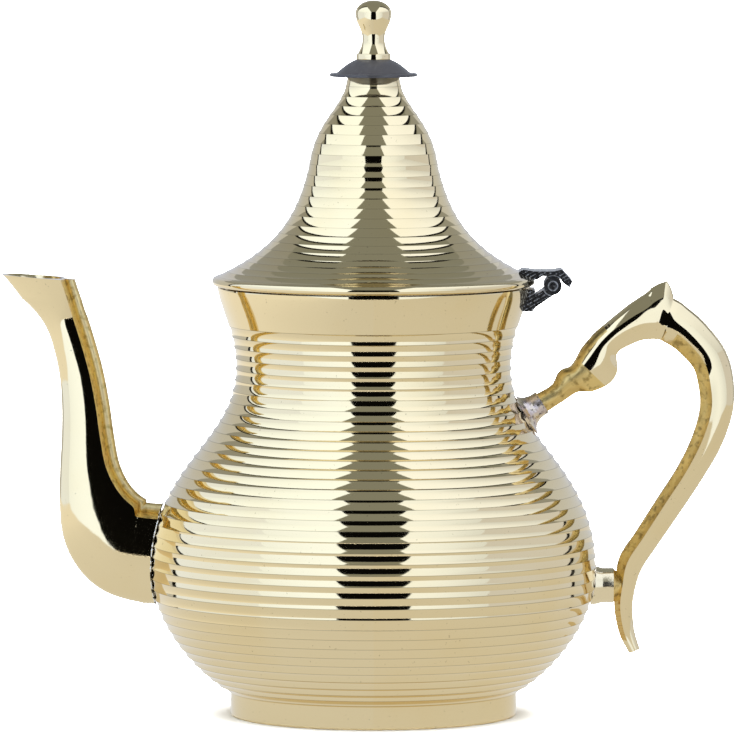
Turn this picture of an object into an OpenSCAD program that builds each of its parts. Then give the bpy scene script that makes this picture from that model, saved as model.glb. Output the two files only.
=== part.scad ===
// Fluted brass teapot with a hinged bell lid, a two-piece cast spout and a scrolled handle.
// Millimetres, +Z up, origin at the centre of the foot's rest plane.
// The spout points along -X, the handle and the lid hinge lie along +X.

/* [Body] */
// Diameter of the foot ring where it stands on the table
foot_d = 100; // [92:1:108]
// Height of the foot ring
foot_h = 8; // [6:0.5:11]
// Wall of the foot ring
foot_wall = 2; // [1.5:0.1:3]
// Largest diameter of the belly, over the ridges between the flutes
belly_d = 156; // [148:1:164]
// Height of the belly's largest diameter
belly_z = 51; // [46:1:56]
// Diameter of the waist under the mouth
waist_d = 96.6; // [90:0.2:100]
// Height of the waist
waist_z = 121.9; // [118:0.1:125]
// Diameter of the mouth, where the lid meets the neck
mouth_d = 109.4; // [104:0.2:112]
// Height of the mouth
mouth_z = 150; // [145:1:156]
// Thickness of the spun brass at the bottom of a flute
shell_wall = 0.9; // [0.7:0.1:1.4]

/* [Flutes] */
// Distance from ridge to ridge, along the surface
flute_pitch = 3.84; // [3.4:0.02:4.6]
// Depth of the body's hollow flutes
flute_depth = 0.3; // [0.1:0.05:0.6]
// Depth of the lid's hollow flutes
lid_flute_depth = 0.14; // [0.06:0.02:0.5]
// Smooth band left under the mouth
neck_band = 14; // [8:0.5:20]
// Smooth band left at the top of the lid
lid_band = 3.4; // [2:0.2:6]

/* [Lid] */
// Diameter of the rolled edge of the lid
lid_edge_d = 112.8; // [111:0.2:116]
// Radius of the rolled edge
bead_r = 1.55; // [1.2:0.05:2]
// Daylight between the lid's edge and the mouth
lid_gap = 0.5; // [0.35:0.05:1]
// Diameter of the lid's shoulder
lid_shoulder_d = 45.4; // [40:0.2:50]
// Height of the shoulder above the mouth
lid_shoulder_h = 42; // [38:0.5:46]
// Diameter of the lid's flat top
lid_top_d = 18.2; // [16.5:0.1:20]
// Height of the flat top above the mouth
lid_top_h = 73.4; // [70:0.2:78]
// Depth that the locating collar reaches into the mouth
collar_depth = 6; // [4:0.5:9]
// Wall of the locating collar
collar_wall = 1; // [0.8:0.1:1.5]
// Daylight between the collar and the inside of the neck
collar_gap = 1.2; // [0.8:0.1:2]

/* [Knob] */
// Diameter of the black insulating disc
disc_d = 30.6; // [28:0.2:34]
// Thickness of the disc's brim
disc_brim = 1.1; // [0.8:0.1:1.6]
// Height of the disc from its underside to the knob's seat
disc_h = 5.9; // [5:0.1:7]
// Diameter of the knob's collar, which sits on the disc
knob_collar_d = 12.2; // [11:0.1:13]
// Largest diameter of the knob's bulb
knob_bulb_d = 12.7; // [11:0.1:15]
// Diameter of the knob's waist
knob_waist_d = 7.9; // [7:0.1:9]
// Height of the knob above the disc
knob_h = 20.7; // [18:0.1:24]
// Shank diameter of the screw that holds the knob
screw_d = 4; // [3:0.5:4.5]

/* [Spout] */
// Height at which the spout's centre line leaves the body
spout_z = 57; // [54:0.5:60]
// Distance from the body to the tip of the pouring lip
spout_reach = 53.4; // [48:0.2:58]
// Height of the lip above the centre of the spout's base
spout_rise = 97.1; // [90:0.1:103]
// Fore-and-aft depth of the spout's neck
spout_depth = 17; // [15:0.2:19]
// Width of the spout's neck
spout_w = 15.5; // [13.5:0.1:18]
// Wall of the spout castings
spout_wall = 1.5; // [1.2:0.1:2]
// Depth of the rounded ridge that runs up the back of the spout
ridge_depth = 3.2; // [2.4:0.1:3.8]
// Width of the ridge
ridge_w = 5.6; // [4:0.1:6.6]
// Depth of the rough groove beside the ridge
groove_depth = 1.6; // [1:0.1:2]
// Diameter of the strainer holes behind the spout
strainer_hole_d = 3; // [2:0.2:3.6]

/* [Handle] */
// Height of the lower joint
lower_joint_z = 45.3; // [42:0.1:49]
// Height of the upper joint
upper_joint_z = 109.5; // [106:0.1:112]
// Largest distance of the grip's centre line from the line between the joints
handle_reach = 60; // [54:1:66]
// Depth of the handle strap
strap_depth = 9.4; // [8:0.2:11]
// Width of the handle strap
strap_w = 11.4; // [9:0.2:13]
// Length of the sleeve between the belly and the handle
sleeve_len = 6.4; // [4.5:0.1:7]
// Diameter of the sleeve
sleeve_d = 12.2; // [10.5:0.1:13]
// Length of the trumpet socket at the upper joint
socket_len = 7.5; // [6.5:0.1:9]
// Diameter of the trumpet socket at its narrow end
socket_d = 8.6; // [8:0.1:9.5]
// Slope of the upper joint above level, in degrees
socket_tilt = 32.5; // [28:0.5:36]
// Diameter of the pegs that enter the sleeve and the socket
peg_d = 4.8; // [3.5:0.1:5.5]

/* [Hinge] */
// Distance of the hinge pin from the pot's axis
pin_x = 62.5; // [61.5:0.1:64]
// Height of the hinge pin above the mouth
pin_up = 0.7; // [0.3:0.1:1.2]
// Diameter of the hinge pin
pin_d = 2.2; // [1.8:0.1:2.6]
// Radius of the scrolled knuckles
knuckle_r = 3.1; // [2.8:0.1:3.3]
// Width of the hinge across both cheeks
hinge_w = 15; // [12:0.5:18]
// Width of the lid's middle knuckle
middle_w = 7.6; // [6:0.2:9]
// Height of the leaf's top over the pin
leaf_rise = 5.1; // [4.7:0.1:6]
// Distance that the leaf laps over the lid's edge
leaf_lap = 6.4; // [5:0.1:9]
// Reach of the thumb tab beyond the pin
tab_reach = 6.8; // [6:0.1:9]
// Height of the bracket's plate on the neck
plate_h = 7.6; // [6:0.1:9]
// Thickness of the bracket's plate over the mouth's edge
plate_t = 1.6; // [1.2:0.1:2.4]

/* [Fits] */
// Radial clearance of the lid's knuckle on the pin
running_fit = 0.05; // [0.02:0.01:0.1]
// Radial clearance of pegs, screws and plates that are fixed in place
fixed_fit = 0.05; // [0.02:0.01:0.1]
// Daylight between parts that move past each other
moving_gap = 0.4; // [0.3:0.05:0.6]

/* [Hidden] */

round_fn = 96;
foot_r = foot_d / 2;
belly_r = belly_d / 2;
waist_r = waist_d / 2;
mouth_r = mouth_d / 2;
brass = "#d9c48a";
cast_brass = "#c9a85a";
dark_metal = "#4a4743";

// ---------- curves ----------

function bezier(p, t) =
    pow(1 - t, 3) * p[0] + 3 * pow(1 - t, 2) * t * p[1]
    + 3 * (1 - t) * t * t * p[2] + t * t * t * p[3];

function curve(p, count) = [for (i = [0 : count - 1]) bezier(p, i / count)];

function lengths_along(path) =
    [for (i = 0, s = 0; i < len(path);
        i = i + 1, s = i < len(path) ? s + norm(path[i] - path[i - 1]) : s) s];

// A path with the tables that give radius and height at a length along it.
function measured(path) =
    let (s = lengths_along(path))
    [
        [for (i = [0 : len(path) - 1]) [s[i], path[i][0]]],
        [for (i = [0 : len(path) - 1]) [s[i], path[i][1]]],
        s[len(s) - 1]
    ];

function point_at(m, s) = [lookup(s, m[0]), lookup(s, m[1])];

// Unit normal that points into the vessel.
function inward_at(m, s) =
    let (step = 0.4, d = point_at(m, s + step) - point_at(m, s - step))
    [-d[1], d[0]] / norm(d);

// Hollow flutes with sharp ridges between them, from one length to another along a crest line.
function flutes(m, from, to, depth) =
    let (count = round((to - from) / flute_pitch), pitch = (to - from) / count, steps = 4)
    [for (i = [0 : count * steps])
        let (s = from + i * pitch / steps, phase = (i % steps) / steps)
        point_at(m, s) + depth * (1 - pow(2 * phase - 1, 2)) * inward_at(m, s)];

// The crest line moved inward by a distance, between two lengths along it.
function inset_line(m, from, to, distance, count) =
    [for (i = [0 : count])
        let (s = from + (to - from) * i / count) point_at(m, s) + distance * inward_at(m, s)];

function reversed(list) = [for (i = [len(list) - 1 : -1 : 0]) list[i]];

function arc(centre, r, from, to, count) =
    [for (i = [0 : count])
        let (a = from + (to - from) * i / count) centre + r * [cos(a), sin(a)]];

// ---------- body profile ----------

belly_rise = belly_z - foot_h;
waist_rise = waist_z - belly_z;
mouth_rise = mouth_z - waist_z;
body_crest = concat(
    curve([
        [foot_r, foot_h],
        [foot_r + 0.42 * (belly_r - foot_r), foot_h + 0.14 * belly_rise],
        [belly_r, belly_z - 0.45 * belly_rise],
        [belly_r, belly_z]
    ], 20),
    curve([
        [belly_r, belly_z],
        [belly_r, belly_z + 0.52 * waist_rise],
        [waist_r, waist_z - 0.37 * waist_rise],
        [waist_r, waist_z]
    ], 28),
    curve([
        [waist_r, waist_z],
        [waist_r, waist_z + 0.43 * mouth_rise],
        [mouth_r - 0.24 * (mouth_r - waist_r), mouth_z - 0.3 * mouth_rise],
        [mouth_r, mouth_z]
    ], 12),
    [[mouth_r, mouth_z]]
);
body_line = measured(body_crest);
shell_depth = shell_wall + flute_depth;
foot_lip = 1;

function body_r(z) = lookup(z, [for (p = body_crest) [p[1], p[0]]]);

body_inner = inset_line(body_line, foot_lip, body_line[2], shell_depth, 48);

function neck_inner_r(z) = lookup(z, [for (p = body_inner) [p[1], p[0]]]);

// ---------- lid profile ----------

lid_edge_r = lid_edge_d / 2;
lid_top_r = lid_top_d / 2;
shoulder_r = lid_shoulder_d / 2;
lid_foot_z = mouth_z + lid_gap;
shoulder_z = mouth_z + lid_shoulder_h;
lid_top_z = mouth_z + lid_top_h;
bead_centre = [lid_edge_r - bead_r, lid_foot_z + bead_r];
bead_end = 70;
flare_start = bead_centre + bead_r * [cos(bead_end), sin(bead_end)];
flare_run = flare_start[0] - shoulder_r;
flare_rise = shoulder_z - flare_start[1];
cap_run = shoulder_r - lid_top_r;
cap_rise = lid_top_z - shoulder_z;
lid_crest = concat(
    curve([
        flare_start,
        flare_start + [-0.69 * flare_run, 0.26 * flare_rise],
        [shoulder_r + 0.12 * flare_run, shoulder_z - 0.42 * flare_rise],
        [shoulder_r, shoulder_z]
    ], 28),
    curve([
        [shoulder_r, shoulder_z],
        [shoulder_r - 0.17 * cap_run, shoulder_z + 0.55 * cap_rise],
        [lid_top_r + 0.1 * cap_run, lid_top_z - 0.37 * cap_rise],
        [lid_top_r, lid_top_z]
    ], 20),
    [[lid_top_r, lid_top_z]]
);
lid_line = measured(lid_crest);
lid_depth = shell_wall + lid_flute_depth;
lid_top_wall = 1.4;
lid_inner = [for (p = inset_line(lid_line, 0, lid_line[2], lid_depth, 44))
    if (p[0] < lid_edge_r - 2 * bead_r && p[1] < lid_top_z - lid_top_wall) p];

function lid_inner_z(r) = lookup(r, [for (p = reversed(lid_inner)) p]);

screw_hole_r = screw_d / 2 + fixed_fit;

// ---------- swept castings ----------
// A sweep's rows are [x, z, depth in front, depth behind, half width] along a centre line
// in the XZ plane. Catmull-Rom curves join the rows.

function row_at(rows, u) =
    let (last = len(rows) - 1, i = min(floor(u), last - 1), t = u - i,
        a = rows[max(i - 1, 0)], b = rows[i], c = rows[i + 1], d = rows[min(i + 2, last)])
    0.5 * (2 * b + (c - a) * t + (2 * a - 5 * b + 4 * c - d) * t * t
        + (3 * b - a - 3 * c + d) * t * t * t);

function heading_at(rows, u) =
    let (last = len(rows) - 1, i = min(floor(u), last - 1), t = u - i,
        a = rows[max(i - 1, 0)], b = rows[i], c = rows[i + 1], d = rows[min(i + 2, last)],
        slope = (c - a) + 2 * (2 * a - 5 * b + 4 * c - d) * t
            + 3 * (3 * b - a - 3 * c + d) * t * t)
    [slope[0], slope[1]] / norm([slope[0], slope[1]]);

// Point of a section: d runs from -1 behind to +1 in front, w is the share of the half width.
function section_point(row, front, d, w) =
    let (reach = d < 0 ? row[3] : row[2])
    [row[0] + front[0] * d * reach, w * row[4], row[1] + front[1] * d * reach];

// Triangles between neighbouring rings of m points each.
function ring_walls(rings, m) =
    [for (i = [0 : rings - 2], k = [0 : m - 1])
        let (a = i * m + k, b = i * m + (k + 1) % m, c = a + m, d = b + m)
        each [[a, b, d], [a, d, c]]];

// ---------- spout ----------

spout_x = body_r(spout_z);
// Shares of the reach and the rise, then depths and width in shares of the neck's.
spout_rows = [for (s = [
        [0.000, 0.000, 2.15, 2.02, 1.70],
        [0.155, 0.013, 2.02, 2.02, 1.60],
        [0.260, 0.051, 1.87, 1.99, 1.42],
        [0.337, 0.113, 1.66, 2.10, 1.27],
        [0.386, 0.196, 1.38, 1.75, 1.15],
        [0.410, 0.299, 1.19, 1.34, 1.07],
        [0.420, 0.412, 1.05, 1.14, 1.02],
        [0.430, 0.525, 0.97, 1.02, 0.98],
        [0.460, 0.639, 0.87, 0.96, 0.94],
        [0.510, 0.747, 0.80, 0.94, 0.93],
        [0.555, 0.839, 0.92, 0.90, 0.98],
        [0.558, 0.911, 1.80, 0.69, 1.14],
        [0.548, 0.987, 2.71, 0.34, 1.34]
    ])
    [-spout_x - s[0] * spout_reach, spout_z + s[1] * spout_rise,
        s[2] * spout_depth / 2, s[3] * spout_depth / 2, s[4] * spout_w / 2]];
spout_steps = 3;
spout_rings = (len(spout_rows) - 1) * spout_steps + 1;
// The ridge from the back edge to the foot of the groove: shares of its depth and half width.
ridge_outline = [[0, 0], [0.1, 0.6], [0.4, 0.98], [0.75, 0.98], [1, 0.82]];
side_steps = 9;
// How flat the sides are behind the centre line, where 1 would be an ellipse.
side_flat = 0.3;
spout_points = len(ridge_outline) + side_steps + 1;

// Half outline of the spout as [distance in front of the centre line, half width]: the ridge,
// the groove, the sharp arris, the flat side and the round front.
function spout_half_outline(row) =
    let (back = row[3], arris = ridge_depth + groove_depth - back,
        start = asin(arris < 0 ? arris / back : arris / row[2]))
    concat(
        [for (q = ridge_outline) [q[0] * ridge_depth - back, q[1] * ridge_w / 2]],
        [for (i = [0 : side_steps])
            let (a = start + (90 - start) * i / side_steps)
            a < 0 ? [sin(a) * back, pow(cos(a), side_flat) * row[4]]
                  : [sin(a) * row[2], cos(a) * row[4]]]);

// Elliptical bore of the spout, point k of the half outline counted from the front.
function bore_point(row, k) =
    let (near = row[2] - spout_wall, far = row[3] - ridge_depth - spout_wall,
        a = 90 - 180 * k / (spout_points - 1))
    [(near - far) / 2 + (near + far) / 2 * sin(a), (row[4] - spout_wall) * cos(a)];

// Moves a point along X onto the crest line of the body.
function on_body(p) = [-sqrt(pow(body_r(p[2]) + fixed_fit, 2) - p[1] * p[1]), p[1], p[2]];

function spout_ring(i) =
    let (u = i / spout_steps, row = row_at(spout_rows, u), h = heading_at(spout_rows, u),
        outline = concat(
            spout_half_outline(row),
            [for (k = [0 : spout_points - 1]) bore_point(row, k)]),
        ring = [for (q = outline) [row[0] - h[1] * q[0], q[1], row[1] + h[0] * q[0]]])
    i == 0 ? [for (p = ring) on_body(p)] : ring;

// One casting: half of the tube, open along the middle plane where the two are brazed.
module spout_casting() {
    m = 2 * spout_points;
    end = (spout_rings - 1) * m;
    caps = [for (j = [0 : spout_points - 2])
        let (a = j, b = j + 1, c = m - 2 - j, d = m - 1 - j)
        each [[a, b, c], [a, c, d], [end + a, end + c, end + b], [end + a, end + d, end + c]]];
    polyhedron(
        points = [for (i = [0 : spout_rings - 1]) each spout_ring(i)],
        faces = concat([for (f = ring_walls(spout_rings, m)) reversed(f)], caps)
    );
}

module spout_left_half() {
    color(brass) mirror([0, 1, 0]) spout_casting();
}

module spout_right_half() {
    color(cast_brass) spout_casting();
}

// ---------- body ----------

// Solid inside the crest line between two heights, to cut the seats of what is soldered on.
module body_envelope(from, to) {
    count = 10;
    rotate_extrude($fn = round_fn)
        polygon(concat(
            [[0, from]],
            [for (i = [0 : count]) let (z = from + (to - from) * i / count) [body_r(z), z]],
            [[0, to]]));
}

module strainer_holes() {
    pitch = strainer_hole_d * 1.7;
    bore_high = spout_rows[0][3] - ridge_depth - spout_wall - strainer_hole_d;
    bore_low = spout_rows[0][2] - spout_wall - strainer_hole_d;
    centre_z = spout_z + (bore_high - bore_low) / 2;
    half_z = (bore_high + bore_low) / 2;
    half_y = spout_rows[0][4] - spout_wall - strainer_hole_d;
    for (row = [-3 : 3], column = [-3 : 3]) {
        y = pitch * (column + (row % 2 == 0 ? 0 : 0.5));
        z = pitch * row * sin(60);
        if (pow(y / half_y, 2) + pow(z / half_z, 2) <= 1)
            translate([-belly_r, y, centre_z + z])
                rotate([0, 90, 0])
                    cylinder(h = belly_r / 3, d = strainer_hole_d, center = true, $fn = 24);
    }
}

module body_shell() {
    seat_r = foot_r - foot_wall;
    color(brass) difference() {
        rotate_extrude($fn = round_fn)
            polygon(concat(
                [[seat_r, foot_h], [foot_r, foot_h]],
                flutes(body_line, foot_lip, body_line[2] - neck_band, flute_depth),
                [point_at(body_line, body_line[2] - neck_band)],
                [for (p = body_crest)
                    if (p[1] > point_at(body_line, body_line[2] - neck_band)[1] + 0.5) p],
                [[mouth_r - shell_depth, mouth_z]],
                [for (p = reversed(body_inner)) if (p[1] < mouth_z - 0.5) p]));
        strainer_holes();
    }
}

module foot_ring() {
    chamfer = 0.5;
    ledge = 1.5;
    color(brass) rotate_extrude($fn = round_fn)
        polygon([
            [foot_r - chamfer, 0], [foot_r, chamfer], [foot_r, foot_h],
            [foot_r - foot_wall, foot_h], [foot_r - foot_wall, plate_z],
            [foot_r - foot_wall - ledge, plate_z],
            [foot_r - foot_wall - ledge, plate_z - ledge],
            [foot_r - foot_wall, plate_z - 2 * ledge], [foot_r - foot_wall, 0]
        ]);
}

plate_z = foot_h / 2;
base_t = 1.2;

// Dished disc that closes the pot, soldered on the ledge inside the foot.
module base_plate() {
    r = foot_r - foot_wall - fixed_fit;
    dish_r = 0.7 * r;
    dish = 1;
    color(brass) rotate_extrude($fn = round_fn)
        polygon([
            [0, plate_z + dish], [dish_r, plate_z + dish], [dish_r + 2 * dish, plate_z],
            [r, plate_z], [r, plate_z + base_t], [dish_r + 2 * dish, plate_z + base_t],
            [dish_r, plate_z + dish + base_t], [0, plate_z + dish + base_t]
        ]);
}

// ---------- handle ----------

lower_face = body_r(lower_joint_z) + sleeve_len;
upper_dir = [cos(socket_tilt), sin(socket_tilt)];
upper_root = [body_r(upper_joint_z - socket_len * upper_dir[1]),
    upper_joint_z - socket_len * upper_dir[1]];
upper_face = upper_root + socket_len * upper_dir;
joint_rise = upper_face[1] - lower_joint_z;
peg_len = 5;

// x of the line between the two joints, upright beyond its ends.
function joint_line_x(up) =
    lower_face + min(max(up, 0), 1) * (upper_face[0] - lower_face);

stem_len = 6.5;
// Shares of the reach and of the rise between the joints, then depths and width in shares of
// the strap's, from the tip of the tail to the stem.
handle_rows = concat(
    [for (s = [
            [0.124, -0.360, 0.44, 0.42, 0.42],
            [0.078, -0.254, 0.60, 0.57, 0.50],
            [0.056, -0.121, 0.73, 0.65, 0.62],
            [0.070, 0.000, 0.79, 0.72, 0.78],
            [0.155, 0.123, 0.93, 0.97, 0.86],
            [0.302, 0.257, 0.96, 0.96, 0.90],
            [0.509, 0.444, 1.04, 0.98, 0.94],
            [0.696, 0.612, 1.06, 1.01, 0.98],
            [0.864, 0.783, 1.17, 1.12, 1.00],
            [0.995, 0.953, 1.22, 1.26, 1.02],
            [1.012, 1.098, 1.35, 1.32, 1.03],
            [0.973, 1.241, 1.34, 1.42, 1.02],
            [0.863, 1.369, 1.38, 1.54, 0.98],
            [0.758, 1.438, 1.56, 1.60, 0.92],
            [0.717, 1.455, 1.79, 1.61, 0.86],
            [0.685, 1.463, 2.78, 1.66, 0.82],
            [0.646, 1.465, 2.15, 1.62, 0.86],
            [0.545, 1.449, 1.32, 1.56, 0.94],
            [0.435, 1.391, 1.00, 1.37, 0.98],
            [0.357, 1.322, 1.06, 1.27, 0.98],
            [0.292, 1.238, 1.15, 2.15, 0.98],
            [0.212, 1.160, 0.82, 1.78, 0.94],
            [0.158, 1.114, 1.08, 1.02, 0.84]
        ])
        [joint_line_x(s[1]) + s[0] * handle_reach, lower_joint_z + s[1] * joint_rise,
            s[2] * strap_depth / 2, s[3] * strap_depth / 2, s[4] * strap_w / 2]],
    [for (s = [[stem_len, 0.82], [0, 0.84]])
        [upper_face[0] + s[0] * upper_dir[0], upper_face[1] + s[0] * upper_dir[1],
            s[1] * socket_d / 2, s[1] * socket_d / 2, s[1] * socket_d / 2]]
);
handle_steps = 3;
handle_rings = (len(handle_rows) - 1) * handle_steps + 1;
// Half outline from the narrow inner face, over the arris, round the polished outer face.
handle_half = concat(
    [[-1, 0.42], [-0.15, 0.97]],
    [for (a = [0 : 18 : 90]) [sin(a), cos(a)]]
);
handle_outline = concat(
    handle_half,
    [for (i = [len(handle_half) - 2 : -1 : 0]) [handle_half[i][0], -handle_half[i][1]]]
);

function handle_ring(i) =
    let (u = i / handle_steps, row = row_at(handle_rows, u), h = heading_at(handle_rows, u),
        front = [h[1], -h[0]])
    [for (q = handle_outline) section_point(row, front, q[0], q[1])];

module handle_strap() {
    m = len(handle_outline);
    last = (handle_rings - 1) * m;
    polyhedron(
        points = [for (i = [0 : handle_rings - 1]) each handle_ring(i)],
        faces = concat(
            ring_walls(handle_rings, m),
            [[for (k = [m - 1 : -1 : 0]) k]],
            [[for (k = [0 : m - 1]) last + k]])
    );
}

// Places children whose +Z runs along the lower joint, from its face outward.
module at_lower_joint() {
    translate([lower_face, 0, lower_joint_z]) rotate([0, 90, 0]) children();
}

// Places children whose +Z runs up the upper joint, from its face outward.
module at_upper_joint() {
    translate([upper_face[0], 0, upper_face[1]]) rotate([0, 90 - socket_tilt, 0]) children();
}

module handle() {
    overlap = 3;
    boss_len = 3.4;
    color(cast_brass) union() {
        handle_strap();
        at_lower_joint() {
            cylinder(h = boss_len, d1 = 0.96 * sleeve_d, d2 = 0.6 * sleeve_d, $fn = 48);
            translate([0, 0, -peg_len]) cylinder(h = peg_len + overlap, d = peg_d, $fn = 32);
        }
        at_upper_joint()
            translate([0, 0, -peg_len]) cylinder(h = peg_len + overlap, d = peg_d, $fn = 32);
    }
}

module peg_bore() {
    translate([0, 0, -peg_len - fixed_fit])
        cylinder(h = peg_len + 1, d = peg_d + 2 * fixed_fit, $fn = 32);
}

module handle_lower_sleeve() {
    flare = 0.7;
    color(brass) difference() {
        at_lower_joint() rotate_extrude($fn = 48)
            polygon([
                [0, -2 * sleeve_len], [sleeve_d / 2 + flare, -2 * sleeve_len],
                [sleeve_d / 2 + flare, -sleeve_len], [sleeve_d / 2, -0.6 * sleeve_len],
                [sleeve_d / 2, 0], [0, 0]
            ]);
        at_lower_joint() peg_bore();
        body_envelope(lower_joint_z - sleeve_d, lower_joint_z + sleeve_d);
    }
}

// Trumpet-shaped socket whose wide end is soldered round the shoulder of the body.
module handle_upper_socket() {
    base_r = 0.98 * socket_d;
    narrow = socket_d / 2;
    color("#b9a58a") difference() {
        at_upper_joint() rotate_extrude($fn = 48)
            polygon(concat(
                [[0, -2 * socket_len], [base_r, -2 * socket_len]],
                curve([
                    [base_r, -0.95 * socket_len], [narrow + 1.2, -0.85 * socket_len],
                    [narrow, -0.6 * socket_len], [narrow, -0.1 * socket_len]
                ], 8),
                [[narrow, 0], [0, 0]]));
        at_upper_joint() peg_bore();
        body_envelope(upper_root[1] - 2 * base_r, upper_root[1] + 2 * base_r);
    }
}

// ---------- hinge ----------

pin_z = mouth_z + pin_up;
pin_at = [pin_x, pin_z];
cheek_gap_w = middle_w + 2 * moving_gap;

// Extrudes an XZ outline along Y, centred.
module slab(width) {
    rotate([90, 0, 0]) linear_extrude(height = width, center = true) children();
}

// Places children whose +Z runs along the hinge pin.
module along_pin() {
    translate([pin_x, 0, pin_z]) rotate([90, 0, 0]) children();
}

module pin_cylinder(r, width) {
    along_pin() cylinder(h = width, r = r, center = true, $fn = 48);
}

// Plate soldered to the neck, with an arm up to the two outer knuckles.
module hinge_bracket() {
    arm_angle = 34;
    arm_dir = [cos(arm_angle), sin(arm_angle)];
    arm_side = [sin(arm_angle), -cos(arm_angle)];
    arm_len = 11.5;
    arm_below = 0.9 * knuckle_r;
    arm_above = 0.22 * knuckle_r;
    chamfer = 1;
    plate_drop = 0.6;
    plate_x = mouth_r + plate_t;
    plate_top = mouth_z - plate_drop;
    plate_foot = plate_top - plate_h;
    arm_root = pin_at - arm_len * arm_dir;
    color(dark_metal) difference() {
        union() {
            pin_cylinder(knuckle_r, hinge_w);
            slab(hinge_w) polygon([
                pin_at + arm_below * arm_side, pin_at - arm_above * arm_side,
                arm_root - arm_above * arm_side, arm_root + arm_below * arm_side
            ]);
            slab(hinge_w) polygon([
                [waist_r, plate_foot], [plate_x - chamfer, plate_foot],
                [plate_x, plate_foot + chamfer], [plate_x, plate_top], [waist_r, plate_top]
            ]);
        }
        body_envelope(plate_foot - hinge_w / 2, mouth_z);
        pin_cylinder(knuckle_r + moving_gap, cheek_gap_w);
        pin_cylinder(pin_d / 2 + fixed_fit, 2 * hinge_w);
    }
}

module hinge_pin() {
    color(dark_metal) pin_cylinder(pin_d / 2, hinge_w);
}

// Leaf soldered over the lid's edge, with the middle knuckle below and the thumb tab beyond it.
module lid_hinge_leaf() {
    top = pin_z + leaf_rise;
    lid_side_x = lid_edge_r - leaf_lap;
    tab_x = pin_x + tab_reach;
    swing_r = knuckle_r + moving_gap;
    web = 0.6 * knuckle_r;
    wave = 0.6;
    bevel = 2;
    color(dark_metal) difference() {
        union() {
            slab(hinge_w) polygon(concat(
                [
                    [lid_edge_r + wave, pin_z + knuckle_r - 1.5 * wave],
                    [lid_side_x, pin_z + knuckle_r - 1.5 * wave],
                    [lid_side_x, top - wave], [lid_side_x + bevel, top + wave],
                    [pin_x - 2 * knuckle_r, top], [pin_x, top],
                    [pin_x + knuckle_r, top + wave], [tab_x, pin_z + knuckle_r / 2],
                    [tab_x - bevel / 2, pin_z - wave]
                ],
                arc(pin_at, swing_r, 20, 115, 10),
                [[pin_x - swing_r, pin_z + swing_r]]));
            pin_cylinder(knuckle_r, middle_w);
            slab(middle_w) polygon([
                [pin_x - web, pin_z], [pin_x + web, pin_z],
                [pin_x + web, top - wave], [pin_x - web, top - wave]
            ]);
        }
        lid_envelope();
        pin_cylinder(pin_d / 2 + running_fit, 2 * hinge_w);
    }
}

// ---------- lid ----------

// Solid inside the lid's crest line near its edge.
module lid_envelope() {
    low_crest = [for (p = lid_crest) if (p[1] < lid_foot_z + 2 * leaf_rise) p];
    rotate_extrude($fn = round_fn)
        polygon(concat(
            [[0, lid_foot_z]], arc(bead_centre, bead_r, -90, bead_end, 8), low_crest,
            [[0, low_crest[len(low_crest) - 1][1]]]));
}

module lid_shell() {
    rim_inner_r = lid_edge_r - 2 * bead_r;
    flute_end = lid_line[2] - lid_band;
    color(brass) rotate_extrude($fn = round_fn)
        polygon(concat(
            [[rim_inner_r, lid_foot_z]],
            arc(bead_centre, bead_r, -90, bead_end, 8),
            flutes(lid_line, 1, flute_end, lid_flute_depth),
            [point_at(lid_line, flute_end), [lid_top_r, lid_top_z]],
            [[screw_hole_r, lid_top_z], [screw_hole_r, lid_top_z - lid_top_wall]],
            [[lid_inner[len(lid_inner) - 1][0], lid_top_z - lid_top_wall]],
            reversed(lid_inner),
            [[rim_inner_r, lid_inner_z(rim_inner_r)]]));
}

// Ring under the lid that drops into the mouth and centres the lid.
module lid_collar() {
    foot_z = mouth_z - collar_depth;
    outer = neck_inner_r(foot_z) - collar_gap;
    inner = outer - collar_wall;
    color(brass) rotate_extrude($fn = round_fn)
        polygon([
            [inner, foot_z], [outer, foot_z],
            [outer, lid_inner_z(outer)], [inner, lid_inner_z(inner)]
        ]);
}

// ---------- knob ----------

disc_r = disc_d / 2;
knob_z = lid_top_z + disc_h;
washer_t = 0.8;
screw_depth = 9;

// Black disc that keeps the knob cool: a thin brim under a domed crown.
module insulator_disc() {
    crown_r = 0.86 * disc_r;
    seat_r = knob_collar_d / 2;
    color("#1b1b1d") rotate_extrude($fn = round_fn)
        polygon(concat(
            [[screw_hole_r, lid_top_z], [disc_r, lid_top_z], [disc_r, lid_top_z + disc_brim]],
            curve([
                [crown_r, lid_top_z + disc_brim],
                [0.78 * crown_r, lid_top_z + 0.6 * disc_h],
                [1.4 * seat_r, knob_z - 0.15 * disc_h],
                [seat_r, knob_z]
            ], 10),
            [[seat_r, knob_z], [screw_hole_r, knob_z]]));
}

module knob() {
    collar_r = knob_collar_d / 2;
    waist = knob_waist_d / 2;
    bulb = knob_bulb_d / 2;
    collar_h = 2.1;
    edge = 0.25;
    waist_h = 0.35 * knob_h;
    bulb_h = 0.775 * knob_h;
    color(brass) difference() {
        translate([0, 0, knob_z]) rotate_extrude($fn = 64)
            polygon(concat(
                [[0, 0], [collar_r - edge, 0], [collar_r, edge], [collar_r, collar_h - edge],
                    [collar_r - edge, collar_h]],
                curve([
                    [1.4 * waist, collar_h], [1.15 * waist, 1.8 * collar_h],
                    [waist, waist_h - collar_h], [waist, waist_h]
                ], 8),
                curve([
                    [waist, waist_h], [waist, waist_h + 0.17 * knob_h],
                    [bulb, bulb_h - 0.18 * knob_h], [bulb, bulb_h]
                ], 10),
                curve([
                    [bulb, bulb_h], [bulb, bulb_h + 0.14 * knob_h],
                    [0.5 * bulb, knob_h], [0, knob_h]
                ], 10),
                [[0, knob_h]]));
        translate([0, 0, knob_z - 1])
            cylinder(h = screw_depth + 1, r = screw_hole_r, $fn = 32);
    }
}

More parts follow.
